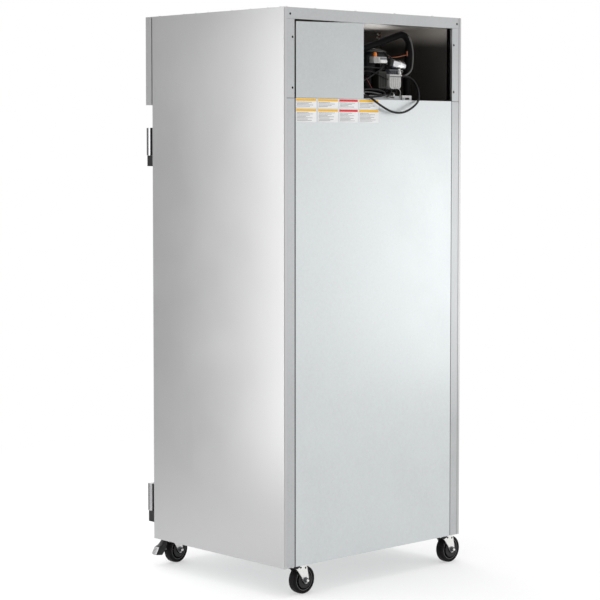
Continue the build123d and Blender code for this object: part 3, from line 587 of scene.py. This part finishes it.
def coil_points():
    """Control points of the put-away turns, wound clockwise from the far side."""
    step = 2 * math.pi / POINTS_PER_TURN
    spread = 1 / math.cos(step / 2)  # the spline passes inside its control points
    points = []
    for i in range(len(COIL_TURNS) * POINTS_PER_TURN + POINTS_PER_TURN // 4):
        turn, part = divmod(i, POINTS_PER_TURN)
        here = min(turn, len(COIL_TURNS) - 1)
        before = max(0, here - 1) if turn < len(COIL_TURNS) else here
        ease = min(1.0, part / 3)
        radius = COIL_TURNS[before] * (1 - ease) + COIL_TURNS[here] * ease
        height = COIL_HEIGHTS[before] * (1 - ease) + COIL_HEIGHTS[here] * ease
        if turn == len(COIL_TURNS):
            height -= 2.0 * part
            radius += 1.3 * part
        angle = math.pi / 2 - i * step
        x = COIL.x + radius * spread * math.cos(angle)
        y = COIL.y + radius * spread * math.sin(angle)
        points.append((x, y, height))
    return points


def make_plug():
    """The plug's body with its grip ribs, ringed sleeve, two prongs and earth pin."""
    x, y, z = PLUG_AT
    outline = [(-14, -18), (14, -18), (14, 10), (9, 18), (-9, 18), (-14, 10)]
    plug = Piece("plug_moulding")
    plug.add(prism(outline, 24), CORD_RUBBER, 4.5, 4, Matrix.Translation(P(x, y - 18, z - 12)))
    sleeve = [(0, -2), (8.4, -2)]
    for i in range(6):
        outer, low = 7.6 - 0.45 * i, 3.6 * i
        sleeve += [(outer, 1 + low), (outer, 3 + low)]
        sleeve += [(outer - 1.0, 3.3 + low), (outer - 1.0, 4.3 + low)]
    sleeve += [(4.1, 24), (0, 24)]
    plug.add(lathe(sleeve, 32), CORD_RUBBER, place=facing(P(x, y, z), ALONG_Y))
    for side in (-1, 1):
        grip = x + side * 14
        for row in range(5):
            low = y - 30 + row * 4.2
            rib = brick(grip - 0.9, grip + 0.9, low, low + 2, z - 7, z + 7)
            plug.add(rib, CORD_RUBBER, 0.6)
        blade = x + side * 6.3
        prong = brick(blade - 0.75, blade + 0.75, y - 52, y - 34, z, z + 6.3)
        plug.add(prong, VALVE_BRASS, 0.3)
    pin = lathe([(0, 0), (1.6, 0), (2.3, 1.5), (2.3, 19), (0, 19)], 24)
    plug.add(pin, VALVE_BRASS, place=facing(P(x, y - 54, z - 6), ALONG_Y))
    return plug.finish("cabinet", "cord_rubber", "power_plug")


def make_gland(at, along):
    """The ringed sleeve where the cord leaves the relay box."""
    sleeve = [(0, 0), (8, 0), (8, 2.5)]
    for i in range(4):
        outer, low = 7.4 - 0.5 * i, 4.4 * i
        sleeve += [(outer, 3.5 + low), (outer, 5.6 + low)]
        sleeve += [(outer - 1.3, 6.1 + low), (outer - 1.3, 7.3 + low)]
    sleeve += [(4.6, 21.6), (4.0, 22), (0, 22)]
    gland = Piece("strain_relief")
    gland.add(lathe(sleeve, 32), CORD_RUBBER, place=facing(at * MM, along))
    return gland.finish("cabinet", "cord_rubber", "cord_gland")


def make_cord():
    first, second = Vector(ROUTE[0]), Vector(ROUTE[1])
    plug_x, plug_y, plug_z = PLUG_AT
    plug_piece = make_plug()
    gland_piece = make_gland(first, second - first)
    points = ROUTE + coil_points()
    points += [(plug_x, COIL.y - 18.0, plug_z + 1.0), (plug_x, plug_y + 20.0, plug_z)]
    cord = nurbs("power_cord_line", points, CORD_R, CORD_RUBBER)
    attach(cord, "cabinet")
    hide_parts("power_cord", "cord_coil")
    band = lathe([(8.5, 20), (9.5, 20), (9.5, -20), (8.5, -20)], 24, closed=True)
    flattened = Matrix.Diagonal((1.28, 1.42, 0.22, 1))
    place = facing(P(COIL.x - 44, COIL.y, COIL_MIDDLE), ALONG_Y) @ flattened
    Piece("cord_tie").add(band, BLACK_PLASTIC, place=place).finish("cabinet", "black_plastic")


make_camera()
make_studio()
make_cord()


# --------------------------------------------------------------------- casters

CASTERS = {  # the swivel's place, and its turn in degrees
    "rear_right": (383.0, 373.0, 180.0),
    "rear_left": (-383.0, 373.0, 180.0),
    "front_right": (386.0, -326.0, 188.0),
    "front_left": (-386.0, -326.0, 0.0),
}
TRAIL = 42.0
WHEEL_R = 50.8
SPOKES = 10
LEG_FACE = 21.5  # outer face of each fork leg from the wheel's middle
FORK_HOLE_SHADES = ((19.0, 98.5), (42.0, 95.0))  # painted shade of the two holes on each leg, x and z
TURNED_OUT = {1: Matrix.Identity(4), -1: Matrix.Rotation(math.pi, 4, "X")}


def axle_of(place):
    return place @ Matrix.Translation(P(TRAIL, 0, WHEEL_R)) @ UPRIGHT


def mirrored_rim(half):
    """A profile's half from its edge to the middle, and the same again on the far side."""
    return half + [(radius, -height) for radius, height in reversed(half)]


def make_wheel(name, place):
    tread = [(38.3, -13.8), (41, -15.3), (44.5, -16), (47.6, -15.6), (49.6, -13.6)]
    tread += [(50.4, -10.5), (50.7, -6), (50.8, -0.4)]
    hub = [(6.2, -18.2), (11, -18.2), (12.6, -17), (13.4, -7), (15, -5), (31, -4.4), (33.2, -6)]
    hub += [(34.2, -13.2), (35.2, -14.6), (38.0, -14.6), (38.6, -13.4), (38.6, -0.4)]
    ring = [(36.2, 14.4), (36.8, 15.1), (38.0, 15.2), (38.5, 14.4)]
    axle = axle_of(place)
    wheel = Piece("tyre_and_core_" + name)
    wheel.add(lathe(mirrored_rim(tread), 72, closed=True), TYRE, place=axle)
    wheel.add(lathe(mirrored_rim(hub), 72, closed=True), WHEEL_CORE, place=axle)
    for side in (-1, 1):
        worn = lathe([(radius, side * height) for radius, height in ring], 72, closed=True)
        wheel.add(worn, GREY_RUBBER, place=axle)
        low, high = sorted((side * 4, side * 12.2))
        for spoke in range(SPOKES):
            turned = axle @ Matrix.Rotation(2 * math.pi * spoke / SPOKES, 4, "Z")
            wheel.add(brick(12.5, 34.3, -1.3, 1.3, low, high), WHEEL_CORE, 0.5, place=turned)
    wheel.finish("wheel_" + name, "caster_rubber", "caster_wheel_" + name)


def make_axle_ends(name, place):
    """Nuts, washers and bolt ends on both legs, dark discs as painted shade in the legs' holes, and
    the black thread guards.
    """
    washer = [(0, LEG_FACE), (10.4, LEG_FACE), (10.8, 22), (10.8, 22.9), (10.2, 23.2), (0, 23.2)]
    nylon = [(5.0, 29.4), (7.4, 29.4), (7.2, 31.4), (5.6, 32.4), (4.6, 31.6)]
    bolt = [(0, 29), (4.4, 29)]
    for turn in range(5):
        bolt += [(4.4, 29.6 + 1.1 * turn), (3.9, 30.1 + 1.1 * turn)]
    bolt += [(4.3, 35.2), (3.6, 36.2), (0, 36.2)]
    leg_hole_shade = [(0, 21.2), (3.4, 21.2), (3.4, 22.0), (0, 22.0)]
    guard = [(14, 16.5), (29.5, 16.5), (30.5, 17.2), (30.0, 18.1), (14, 18.3)]
    ends = Piece("axle_ends_" + name)
    guards = Piece("thread_guards_" + name)
    for side in (-1, 1):
        turned = axle_of(place) @ TURNED_OUT[side]
        nut_place = turned @ Matrix.Translation(P(0, 0, 23.0))
        ends.add(lathe(washer, 40), DARK_ZINC, place=turned)
        ends.add(prism(hexagon(9.0), 6.6), DARK_ZINC, 0.8, place=nut_place)
        ends.add(lathe(nylon, 32, closed=True), BLACK_PLASTIC, place=turned)
        ends.add(lathe(bolt, 32), ZINC, place=turned)
        # Painted shade: a dark disc on each leg's face where a hole is.
        for x, z in FORK_HOLE_SHADES:
            leg_hole_shade_place = place @ Matrix.Translation(P(x, 0, z)) @ UPRIGHT @ TURNED_OUT[side]
            ends.add(lathe(leg_hole_shade, 20), HOLE_DARK, place=leg_hole_shade_place)
        guards.add(lathe(guard, 64, closed=True), BLACK_PLASTIC, place=turned)
    ends.finish("swivel_" + name, "zinc")
    guards.finish("swivel_" + name, "black_plastic")


def make_crown_shade(name, place):
    """Painted shade: a black ring round the swivel and black plates on the fork's shoulders, where
    the crown lies in the shade under the cabinet.
    """
    crown_shade_ring = [(24.4, 99), (26.6, 99.4), (27.0, 103), (26.6, 114), (25.4, 116.2), (24.4, 116.2)]
    cover = Piece("painted_crown_shade_" + name)
    cover.add(lathe(crown_shade_ring, 64, closed=True), BLACK_PLASTIC, place=place)
    for side in (-1, 1):
        shoulder_shade = brick(-10, 5, side * 21.8 - 0.7, side * 21.8 + 0.7, 95.5, 108.2)
        cover.add(shoulder_shade, BLACK_PLASTIC, 0.5, place=place)
    cover.finish("swivel_" + name, "black_plastic")


def make_pedal(name, place):
    """The black lever, its pivot and shoe, and the ribbed toe plate at its end."""
    side = [(-11, 99), (-19, 101), (-46, 80), (-62, 75), (-78, 50), (-73, 46), (-46, 42)]
    side += [(-31, 55), (-17, 89)]
    lever = Piece("brake_lever_" + name)
    stand = place @ Matrix.Translation(P(0, 12, 0)) @ UPRIGHT
    lever.add(prism(side, 24), BLACK_PLASTIC, 1.6, 3, stand)
    across = place @ Matrix.Translation(P(-15, 0, 96)) @ UPRIGHT
    for radius, half, steps, bevel, look in ((5, 18, 32, 0.5, DARK_ZINC), (3.4, 21.4, 24, 0, ZINC)):
        pin = lathe([(0, -half), (radius, -half), (radius, half), (0, half)], steps)
        lever.add(pin, look, bevel, place=across)
    lever.add(brick(-32, -18, -9, 9, 58, 64), GREY_RUBBER, 1.2, place=place)
    slope = Matrix.Rotation(math.radians(-57.4), 4, "Y")
    toe = place @ Matrix.Translation(P(-70, 0, 62.5)) @ slope
    lever.add(brick(-15.5, 13.5, -11.5, 11.5, -0.6, 2.4), STEEL, 1.0, 3, toe)
    for rib in range(5):
        x = -13 + 5.2 * rib
        lever.add(brick(x, x + 2.4, -10, 10, 2.2, 4.0), STEEL, 0.7, place=toe)
    lever.finish("brake_" + name, "black_plastic", "brake_pedal_" + name)


for caster, (caster_x, caster_y, heading) in CASTERS.items():
    heading_turn = Matrix.Rotation(math.radians(heading), 4, "Z")
    turned_to = Matrix.Translation(P(caster_x, caster_y, 0)) @ heading_turn
    make_wheel(caster, turned_to)
    make_axle_ends(caster, turned_to)
    make_crown_shade(caster, turned_to)
    if caster.startswith("front"):
        make_pedal(caster, turned_to)


# ------------------------------------------------------------------ compressor

COMPRESSOR_X, COMPRESSOR_Y = -116.0, 245.0
CAPACITOR_AT = P(-162, 342, 1895.5)  # its middle
CAPACITOR_TILT = math.radians(7.4)
CAPACITOR_HALF = 42
RELAY_X0, RELAY_X1, RELAY_Z0, RELAY_Z1 = -166.0, -106.0, 1804.0, 1851.0
RELAY_CORNER = 14.0


def make_compressor():
    """The black shell on its foot plate, its studs, pipe stubs and discharge line."""
    x, y = COMPRESSOR_X, COMPRESSOR_Y
    profile = [(0, 1957), (20, 1956.6), (32, 1955.4)] + arc(32, 1911, 46, 70, -10, 8)
    profile += [(78, 1858.5), (79.4, 1857.8), (80.5, 1856.5)]
    profile += [(80.5, 1851.5), (79.4, 1850.2), (78, 1849.5)]
    profile += arc(48, 1813, 30, 0, -10, 10) + [(44, 1783), (44, 1778.5), (0, 1778.5)]
    place = Matrix.Translation(P(x, y, 0))
    shell = Piece("compressor_shell")
    shell.add(lathe(profile, 96), BLACK_ENAMEL, place=place)
    plate = []
    for corner_x, corner_y, start in ((80, 58, 0), (-80, 58, 90), (-80, -58, 180), (80, -58, 270)):
        plate += arc(corner_x, corner_y, 12, start, 15, 7)
    plate_place = place @ Matrix.Translation(P(0, 0, 1777))
    shell.add(prism(plate, 3), BLACK_ENAMEL, 0.6, place=plate_place)
    for side in (-1, 1):
        flange = brick(-60, 60, side * 66 - 1.5, side * 66 + 1.5, 1779.5, 1786)
        shell.add(flange, BLACK_ENAMEL, 0.8, place=place)
    stud = [(0, 1780), (8.5, 1780), (8.5, 1781.4), (5.6, 1781.6), (5.6, 1786), (3, 1786.4)]
    stud += [(3, 1792), (0, 1792.5)]
    for dx in (-78, 78):
        for dy in (-56, 56):
            shell.add(lathe(stud, 24), ZINC, place=place @ Matrix.Translation(P(dx, dy, 0)))
    port = [(0, 0), (12, 0), (12, 3), (8.4, 5), (7, 6), (7, 44), (7.8, 44), (7.8, 46), (5.6, 46)]
    shell.add(lathe(port + [(0, 46)], 32), COPPER, place=facing(P(x + 68, y, 1880), ALONG_X))
    stub = lathe([(0, 0), (4, 0), (4, 18), (0, 18)], 24)
    shell.add(stub, COPPER, 0.6, place=facing(P(x - 68, y + 30, 1840), -ALONG_X))
    shell.finish("cabinet", "black_paint", "compressor")
    line = [(*point, 1944) for point in arc(x, y, 66, -50, 20, 13)]
    line += [(x - 62, y + 64, 1926), (x - 66, y + 76, 1900)]
    wire("discharge_line", 3.0, DARK_TUBE, "copper", line)


def make_terminal_box():
    """The pale wiring cover with its label fields and orange cap, over the overload block."""
    box = Piece("wiring_cover")
    box.add(brick(-110, -42, 326, 350, 1898, 1921), PALE_PLASTIC, 1.6, 3)
    for rib in range(9):
        x = -67 + 2.6 * rib
        box.add(brick(x, x + 1.2, 349.5, 351.4, 1900, 1919), PALE_PLASTIC, 0.4)
    box.add(brick(-108, -74, 349.5, 350.9, 1911.5, 1918.5), DARK_ZINC, 0.5)
    box.add(brick(-109, -73, 349.5, 352.2, 1899, 1909), LABEL_WHITE, 1.0, 3)
    head = [(0, 0), (2.6, 0), (2.2, 1.4), (0, 1.8)]
    for screw in (-104, -78):
        box.add(lathe(head, 20), ZINC, place=facing(P(screw, 352.2, 1904), ALONG_Y))
    cap = [(0, 1920), (8, 1920), (8, 1923.5), (6.8, 1924), (7.2, 1932), (5.6, 1936.5), (2.8, 1938)]
    box.add(lathe(cap + [(0, 1938)], 32), ORANGE, place=Matrix.Translation(P(-59, 338, 0)))
    box.add(brick(-100, -57, 328, 360, 1804, 1868), OLIVE_PLASTIC, 3.0, 3)
    for rib in range(4):
        x = -93 + 8 * rib
        box.add(brick(x, x + 2, 359.5, 361.2, 1811, 1861), OLIVE_PLASTIC, 0.6)
    box.add(brick(-92, -80, 328, 345, 1866, 1899), BLACK_PLASTIC, 1.5)
    box.finish("cabinet", "grey_plastic", "terminal_box")


def make_capacitor():
    """The metal can with its black cap and tags, and the strap that holds it."""
    can = [(0, 1.4), (12.0, 1.4), (12.8, 0.2), (14.2, 0), (16.2, 0.8), (17, 2.6), (17, 62)]
    can += [(16.5, 63), (16.5, 64.5), (17, 65.5), (17, 70), (0, 70)]
    cap = [(0, 68), (17.6, 68), (18, 69.5), (18, 82), (17, 83.8), (14.5, 84.5), (13.5, 82.5)]
    strap = [(17.0, 22), (17.7, 22), (17.7, 33), (17.0, 33)]
    piece = Piece("starting_capacitor")
    along = Vector((math.cos(CAPACITOR_TILT), 0, math.sin(CAPACITOR_TILT)))
    place = facing(CAPACITOR_AT - along * CAPACITOR_HALF * MM, along)
    piece.add(lathe(can, 64), CAN_ALUMINIUM, place=place)
    piece.add(lathe(cap + [(0, 82)], 64), BLACK_PLASTIC, place=place)
    for side in (-1, 1):
        tag = brick(-0.4, 0.4, side * 5 - 2.4, side * 5 + 2.4, 80, 90)
        piece.add(tag, ZINC, 0.2, place=place)
    piece.add(lathe(strap, 64, closed=True), ZINC, place=place)
    piece.add(brick(-182, -171, 334, 350, 1873.5, 1877.5), ZINC, 0.6)
    piece.finish("cabinet", "aluminium", "run_capacitor")


def make_relay_box():
    """The ribbed grey case with its lid, the dark socket on it and a pale connector."""
    x0, x1, z0, z1, corner = RELAY_X0, RELAY_X1, RELAY_Z0, RELAY_Z1, RELAY_CORNER
    outline = [(x1, z1), (x0, z1)] + arc(x0 + corner, z0 + corner, corner, 180, 15, 7)
    outline += arc(x1 - corner, z0 + corner, corner, 270, 15, 7)
    box = Piece("relay_case")
    box.add(prism(outline, 40), RELAY_GREY, 1.2, 3, Matrix.Translation(P(0, 368, 0)) @ UPRIGHT)
    box.add(brick(x0 - 3, x1 + 3, 326, 371, 1851, 1857), RELAY_GREY, 1.2, 3)
    box.add(brick(x0 + 1, x1 - 1, 367.5, 368.9, 1847.4, 1850.2), DARK_ZINC, 0.3)
    for column in range(5):
        x = x0 + 7.5 + 10.4 * column
        box.add(brick(x, x + 2.2, 367.4, 369.2, 1811, 1845), RELAY_GREY, 0.6)
    for row in range(4):
        z = 1814 + 9 * row
        box.add(brick(x0 + 5, x1 - 5, 367.4, 368.8, z, z + 1.6), RELAY_GREY, 0.5)
    for z in (1816, 1834):
        box.add(brick(x0 - 2.6, x0 + 1, 333, 361, z, z + 7), RELAY_GREY, 1.0)
    box.add(brick(-160, -114, 328, 360, 1857, 1876), SLATE_PLASTIC, 1.2)
    for slot in range(4):
        x = -155 + 10 * slot
        box.add(brick(x, x + 6, 359.6, 361, 1860, 1872), BLACK_PLASTIC, 0.4)
    box.add(brick(-168, -161, 352, 366, 1857, 1870), LABEL_WHITE, 1.2)
    box.add(brick(-171.5, -167, 356, 364, 1859, 1865), GREY_PLASTIC, 1.0)
    box.finish("cabinet", "grey_plastic", "relay_box")


make_compressor()
make_terminal_box()
make_capacitor()
make_relay_box()


# --------------------------------------------------- small things in the compartment

SHROUD_SCREWS = ((-389, 2027, 16), (-381, 2016, 22), (-393, 2012, 12), (-383, 2030, 9))
SHROUD_FACE = 28
WIRES = (  # name, radius, material, slot, control points
    ("fan_lead", 3.1, GREY_CABLE, "black_plastic",
     [(-252, 322, 2008), (-259, 330, 1985), (-266, 330, 1958), (-269, 330, 1930),
      (-267, 330, 1903), (-262, 331, 1880), (-240, 334, 1862), (-205, 338, 1852),
      (-167, 338, 1848)]),
    ("motor_lead_upper", 2.2, CORD_RUBBER, "cord_rubber",
     [(20, 346, 1880), (-12, 350, 1883), (-46, 352, 1880), (-80, 352, 1879), (-98, 350, 1885),
      (-106, 344, 1899)]),
    ("motor_lead_lower", 2.6, CORD_RUBBER, "cord_rubber",
     [(34, 352, 1826), (8, 356, 1834), (-20, 357, 1848), (-46, 356, 1862), (-78, 354, 1875),
      (-96, 346, 1898)]),
    ("motor_lead_third", 2.0, CORD_RUBBER, "cord_rubber",
     [(40, 340, 1858), (10, 350, 1868), (-22, 356, 1866), (-52, 361, 1856), (-78, 364, 1846),
      (-100, 366, 1838)]),
    ("deck_lead", 3.6, CORD_RUBBER, "cord_rubber",
     [(70, 374, 1792), (30, 373, 1800), (-16, 372, 1801), (-52, 372, 1797), (-78, 372, 1790),
      (-72, 373, 1779), (-38, 374, 1774), (20, 375, 1771), (58, 374, 1770)]),
    ("deck_lead_two", 2.6, GREY_CABLE, "cord_rubber",
     [(62, 366, 1786), (24, 364, 1791), (-20, 363, 1790), (-60, 364, 1784), (-100, 366, 1776),
      (-132, 364, 1772)]),
    ("red_lead", 0.9, RED_LEAD, "black_plastic",
     [(-2, 350, 1842), (-10, 351, 1832), (-20, 350, 1821), (-29, 350, 1809), (-34, 349, 1800)]),
    ("relay_lead_grey", 1.5, PALE_CABLE, "grey_plastic",
     [(-129, 369, 1810), (-149, 371, 1806), (-159, 372, 1796), (-160, 371, 1783),
      (-155, 369, 1772)]),
    ("relay_lead_black", 1.7, CORD_RUBBER, "cord_rubber",
     [(-113, 366, 1807), (-109, 369, 1796), (-119, 371, 1785), (-135, 371, 1786),
      (-141, 369, 1797), (-131, 366, 1806)]),
    ("relay_lead_black_two", 1.7, CORD_RUBBER, "cord_rubber",
     [(-123, 366, 1806), (-115, 370, 1794), (-103, 371, 1781), (-91, 369, 1773)]),
    ("relay_lead_top", 1.1, PALE_CABLE, "grey_plastic",
     [(-165, 359, 1868), (-172, 361, 1874), (-186, 358, 1872), (-196, 346, 1868),
      (-196, 336, 1858), (-180, 332, 1846), (-167, 332, 1840)]),
    ("capacitor_lead_one", 1.4, CORD_RUBBER, "cord_rubber",
     [(-113, 347, 1901), (-104, 352, 1893), (-104, 358, 1880), (-112, 362, 1868),
      (-124, 360, 1862)]),
    ("capacitor_lead_two", 1.4, CORD_RUBBER, "cord_rubber",
     [(-113, 337, 1901), (-103, 343, 1888), (-101, 352, 1876), (-97, 358, 1866)]),
)


def make_bolt_cluster():
    """Four screws with nuts through the partition, at the fan shroud's upper corner."""
    piece = Piece("shroud_screws")
    for x, z, long in SHROUD_SCREWS:
        place = facing(P(x, SHROUD_FACE, z), ALONG_Y)
        piece.add(prism(hexagon(4.4), 4), ZINC, 0.5, place=place)
        screw = [(0, 0), (2.2, 0), (2.2, long), (1.6, long + 0.8), (0, long + 0.8)]
        piece.add(lathe(screw, 20), VALVE_BRASS, place=place)
    piece.finish("cabinet", "zinc")


def make_clip():
    clip = Piece("sill_clip")
    clip.add(brick(-236.4, -185.6, 349.8, 355.6, 1771, 1781.4), LABEL_WHITE, 1.4, 3)
    clip.add(brick(-222, -202, 354.4, 356.4, 1766, 1773), BLACK_PLASTIC, 0.6)
    clip.finish("cabinet", "grey_plastic")


make_bolt_cluster()
make_clip()
for wire_facts in WIRES:
    wire(*wire_facts)


# ---------------------------------------------------------------- heat exchangers

FIN_MARGIN = 4
HALF_FIN = 0.15
END_PLATE = 1.5
TUBE_R = 4.7
TUBE_APART = 16  # of each tube from the pack's middle
FIRST_ROW, ROW_PITCH = 20, 35


def tube_bend(end, side, y, z):
    """The half ring that joins a row's two tubes, past one end of the pack."""
    bend = bmesh.new()
    rings = []
    for step in range(9):
        a = math.pi * step / 8
        centre = P(end + side * TUBE_APART * math.sin(a), y + TUBE_APART * math.cos(a), z)
        out = Vector((side * math.sin(a), math.cos(a), 0))
        turns = [math.pi * turn / 6 for turn in range(12)]
        ring = [centre + (out * math.cos(b) + UP * math.sin(b)) * TUBE_R * MM for b in turns]
        rings.append([bend.verts.new(co) for co in ring])
    for low, high in zip(rings, rings[1:]):
        for i in range(12):
            j = (i + 1) % 12
            bend.faces.new((low[i], low[j], high[j], high[i]))
    bend.faces.new(rings[0])
    bend.faces.new(rings[-1])
    bmesh.ops.recalc_face_normals(bend, faces=bend.faces)
    return bend


def make_fin_pack(name, node, box, pitch, rows):
    """Thin fins on tubes, with an end plate and the tube bends at each end."""
    x0, x1, y0, y1, z0, z1 = box
    middle = (y0 + y1) / 2
    run = x1 - x0 - 2 * FIN_MARGIN
    count = int(run / pitch)
    pack = Piece(name)
    for i in range(count + 1):
        x = x0 + FIN_MARGIN + i * run / count
        pack.add(brick(x - HALF_FIN, x + HALF_FIN, y0, y1, z0, z1), FIN_ALUMINIUM)
    for x in (x0, x1 - END_PLATE):
        pack.add(brick(x, x + END_PLATE, y0, y1, z0, z1), STEEL, 0.4)
    tube = [(0, 0), (TUBE_R, 0), (TUBE_R, x1 - x0), (0, x1 - x0)]
    for row in range(rows):
        z = z0 + FIRST_ROW + row * ROW_PITCH
        for y in (middle - TUBE_APART, middle + TUBE_APART):
            pack.add(lathe(tube, 16), COPPER, place=facing(P(x0, y, z), ALONG_X))
        for end, side in ((x0, -1), (x1, 1)):
            pack.add(tube_bend(end, side, middle, z), COPPER)
    pack.finish("cabinet", "aluminium", node)


make_fin_pack("condenser_fins", "condenser_coil", (-340, 120, -270, -205, 1768, 2022), 4.2, 7)
make_fin_pack("evaporator_fins", "evaporator_coil", (-200, 200, 200, 300, 1564, 1684), 5.0, 3)


# ------------------------------------------------------- gasket, labels, small trim

GASKET_X, GASKET_LOW, GASKET_HIGH = 408, 159, 1723
LABEL_FACE = 404.75
LABEL_COLUMNS = ((397.5, 299.0), (292.5, 193.0), (188.0, 94.0), (89.0, -12.0))
LABEL_ROWS = ((1760.5, 1728.0, 4), (1724.5, 1678.0, 7))  # top, bottom, lines
RED_COLUMN = 2
LINE_SHARES = (0.82, 0.64, 0.9, 0.72, 0.5, 0.86, 0.6)
PANEL_FACE = -365.0
SEAM_FACE = 403.62
HOLE_FACE = 404.6
HOLE_R = 4.2
HOLES = [(side * 413.0, z) for side in (-1, 1) for z in (1797.0, 1973.0)]
HOLES += [(424.0, 2053.0), (-430.0, 2053.0)]
HINGE_FEET = (168.0, 1518.0)


def make_gasket():
    """A bellows gasket, its corners mitred, round the door's inner panel."""
    profile = [(0.5, -304), (23, -304), (23.5, -301.5), (19, -300.4), (19, -298.8), (23.6, -297.6)]
    profile += [(24, -293.5), (22, -291.6), (3, -291.6), (0.2, -293.2), (0, -296.8), (4, -298.2)]
    profile += [(4, -299.6), (0.2, -301)]
    bm = bmesh.new()
    loops = []
    for side, rise in ((-1, -1), (1, -1), (1, 1), (-1, 1)):
        x, z = side * GASKET_X, GASKET_HIGH if rise > 0 else GASKET_LOW
        loops.append([bm.verts.new(P(x - side * i, y, z - rise * i)) for i, y in profile])
    for here, there in zip(loops, loops[1:] + loops[:1]):
        for i in range(len(profile)):
            j = (i + 1) % len(profile)
            bm.faces.new((here[i], here[j], there[j], there[i]))
    bmesh.ops.recalc_face_normals(bm, faces=bm.faces)
    Piece("bellows_gasket").add(bm, GASKET).finish("door", "gasket_rubber", "door_gasket")


def make_labels():
    """Blank self-adhesive fields on the back: a bar over plain lines, with nothing to read."""
    sheet = Piece("rear_label_fields")
    face = LABEL_FACE
    for number, (left, right) in enumerate(LABEL_COLUMNS):
        bar = LABEL_RED if number == RED_COLUMN else LABEL_AMBER
        for row, (top, bottom, lines) in enumerate(LABEL_ROWS):
            sheet.add(brick(right, left, face, face + 0.25, bottom, top), LABEL_WHITE, 0.1)
            band = brick(right + 1, left - 1, face + 0.2, face + 0.34, top - 8.5, top - 0.5)
            sheet.add(band, bar)
            for line in range(lines):
                z = top - 12.5 - 4.6 * line
                share = LINE_SHARES[(line + number + row) % len(LINE_SHARES)]
                end = left - 5 - share * (left - right - 12)
                sheet.add(brick(end, left - 5, face + 0.2, face + 0.32, z - 1.3, z), LABEL_GREY)
    sheet.finish("cabinet", "breaker_plastic")


def make_hinge_trim():
    """A black strip along the outer edge of each hinge's knuckle."""
    trim = Piece("hinge_trim")
    for foot in HINGE_FEET:
        strip = brick(431.5, 448.5, -369.4, -366.2, foot + 40.5, foot + 144)
        trim.add(strip, BLACK_PLASTIC, 0.8)
    trim.finish("door", "black_plastic")


def make_seam_and_hole_shades():
    """Dark strips as painted shade in the seams by the back panel, and dark discs as painted shade
    in the stiles' holes.
    """
    seams = Piece("painted_back_seam_shades")
    for x0, x1 in ((398.2, 403.8), (-403.8, -400.7)):
        seams.add(brick(x0, x1, SEAM_FACE, 404.3, 110, 1760), SEAM_SHADE, 0.1)
    for x0, x1 in ((404.2, 450), (-450, -404.2)):
        seams.add(brick(x0, x1, SEAM_FACE, 404.5, 1760.1, 1761.9), SEAM_SHADE, 0.1)
    seams.finish("cabinet", "gasket_rubber")
    holes = Piece("painted_hole_shades")
    disc = [(0, 0), (HOLE_R, 0), (HOLE_R, 0.35), (0, 0.35)]
    for x, z in HOLES:
        holes.add(lathe(disc, 24), HOLE_DARK, place=facing(P(x, HOLE_FACE, z), ALONG_Y))
    holes.finish("cabinet", "gasket_rubber")


def make_controls():
    """The display's glass, its blank digits, the key faces and a lamp on the hood's panel."""
    y = PANEL_FACE
    panel = Piece("control_faces")
    panel.add(brick(-411.5, -322.5, y - 3.9, y - 3.2, 1884.5, 1923.5), GLASS_BLACK, 0.2)
    for row in range(2):
        for column in range(2):
            x, z = -305 + 20 * column, 1893 + 20 * row
            key = brick(x - 6.4, x + 6.4, y - 5.2, y - 4.7, z - 5.4, z + 5.4)
            panel.add(key, RELAY_GREY, 0.3)
            panel.add(brick(x - 2.4, x + 2.4, y - 5.35, y - 5.1, z - 0.5, z + 0.5), DARK_ZINC)
    lamp = [(0, 0), (2.4, 0), (2.4, 0.8), (1.6, 1.7), (0, 2)]
    panel.add(lathe(lamp, 24), LAMP_GREEN, place=facing(P(-255, y - 4, 1926), -ALONG_Y))
    for digit in range(3):
        x = -395 + 20 * digit
        bars = [(x, x + 8, z, z + 1.6) for z in (1893, 1903, 1913)]
        for left in (x - 1.4, x + 8):
            bars += [(left, left + 1.4, z, z + 7.6) for z in (1894.9, 1904.9)]
        for x0, x1, z0, z1 in bars:
            panel.add(brick(x0, x1, y - 4.05, y - 3.85, z0, z1), LAMP_AMBER)
    panel.finish("hood", "black_plastic")


make_gasket()
make_labels()
make_hinge_trim()
make_seam_and_hole_shades()
make_controls()


# ------------------------------------------------------- materials on CAD nodes

CAD_MATERIALS = {
    STAINLESS: ["side_panel_left", "side_panel_right", "top_panel", "hood_panel", "door_skin"],
    STAINLESS_SATIN: ["door_handle", "door_inner_panel"],
    GALVANISED: ["back_panel", "base_pan"],
    COVER_SHEET: ["service_cover"],
    GALVANISED_RAIL: ["rear_stiles", "rear_top_rail", "condensing_base", "hood_brackets"],
    LINER: ["cabin_liner", "evaporator_housing"],
    LINING_PAINTED_LIGHT: ["compartment_lining"],
    SHROUD_PAINTED_SHADE: ["fan_partition"],
    FOAM: ["foam_insulation", "door_foam"],
    FRAME_PLASTIC: ["door_frame"],
    GASKET: ["compressor_feet"],
    CHROME: ["hinge_straps", "door_lock"],
    BLACK_PLASTIC: ["hinge_blocks", "control_panel", "power_switch", "condenser_fan_blade"],
    GREY_PLASTIC: ["evaporator_fan_blade"],
    BLACK_ENAMEL: ["condenser_fan_motor", "evaporator_fan_motor"],
    ZINC: ["panel_screws", "caster_plates"],
    COPPER: ["copper_lines"],
    PIPE_FOAM: ["suction_line"],
    STEEL: ["pilasters", "pan_slides", "heater_element", "water_pan"],
}
CAD_MATERIALS[ZINC] += [f"caster_fork_{name}" for name in CASTERS]

for cad_material, cad_nodes in CAD_MATERIALS.items():
    for cad_name in cad_nodes:
        cad_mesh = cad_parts[cad_name].data
        cad_mesh.materials.clear()
        cad_mesh.materials.append(cad_material)
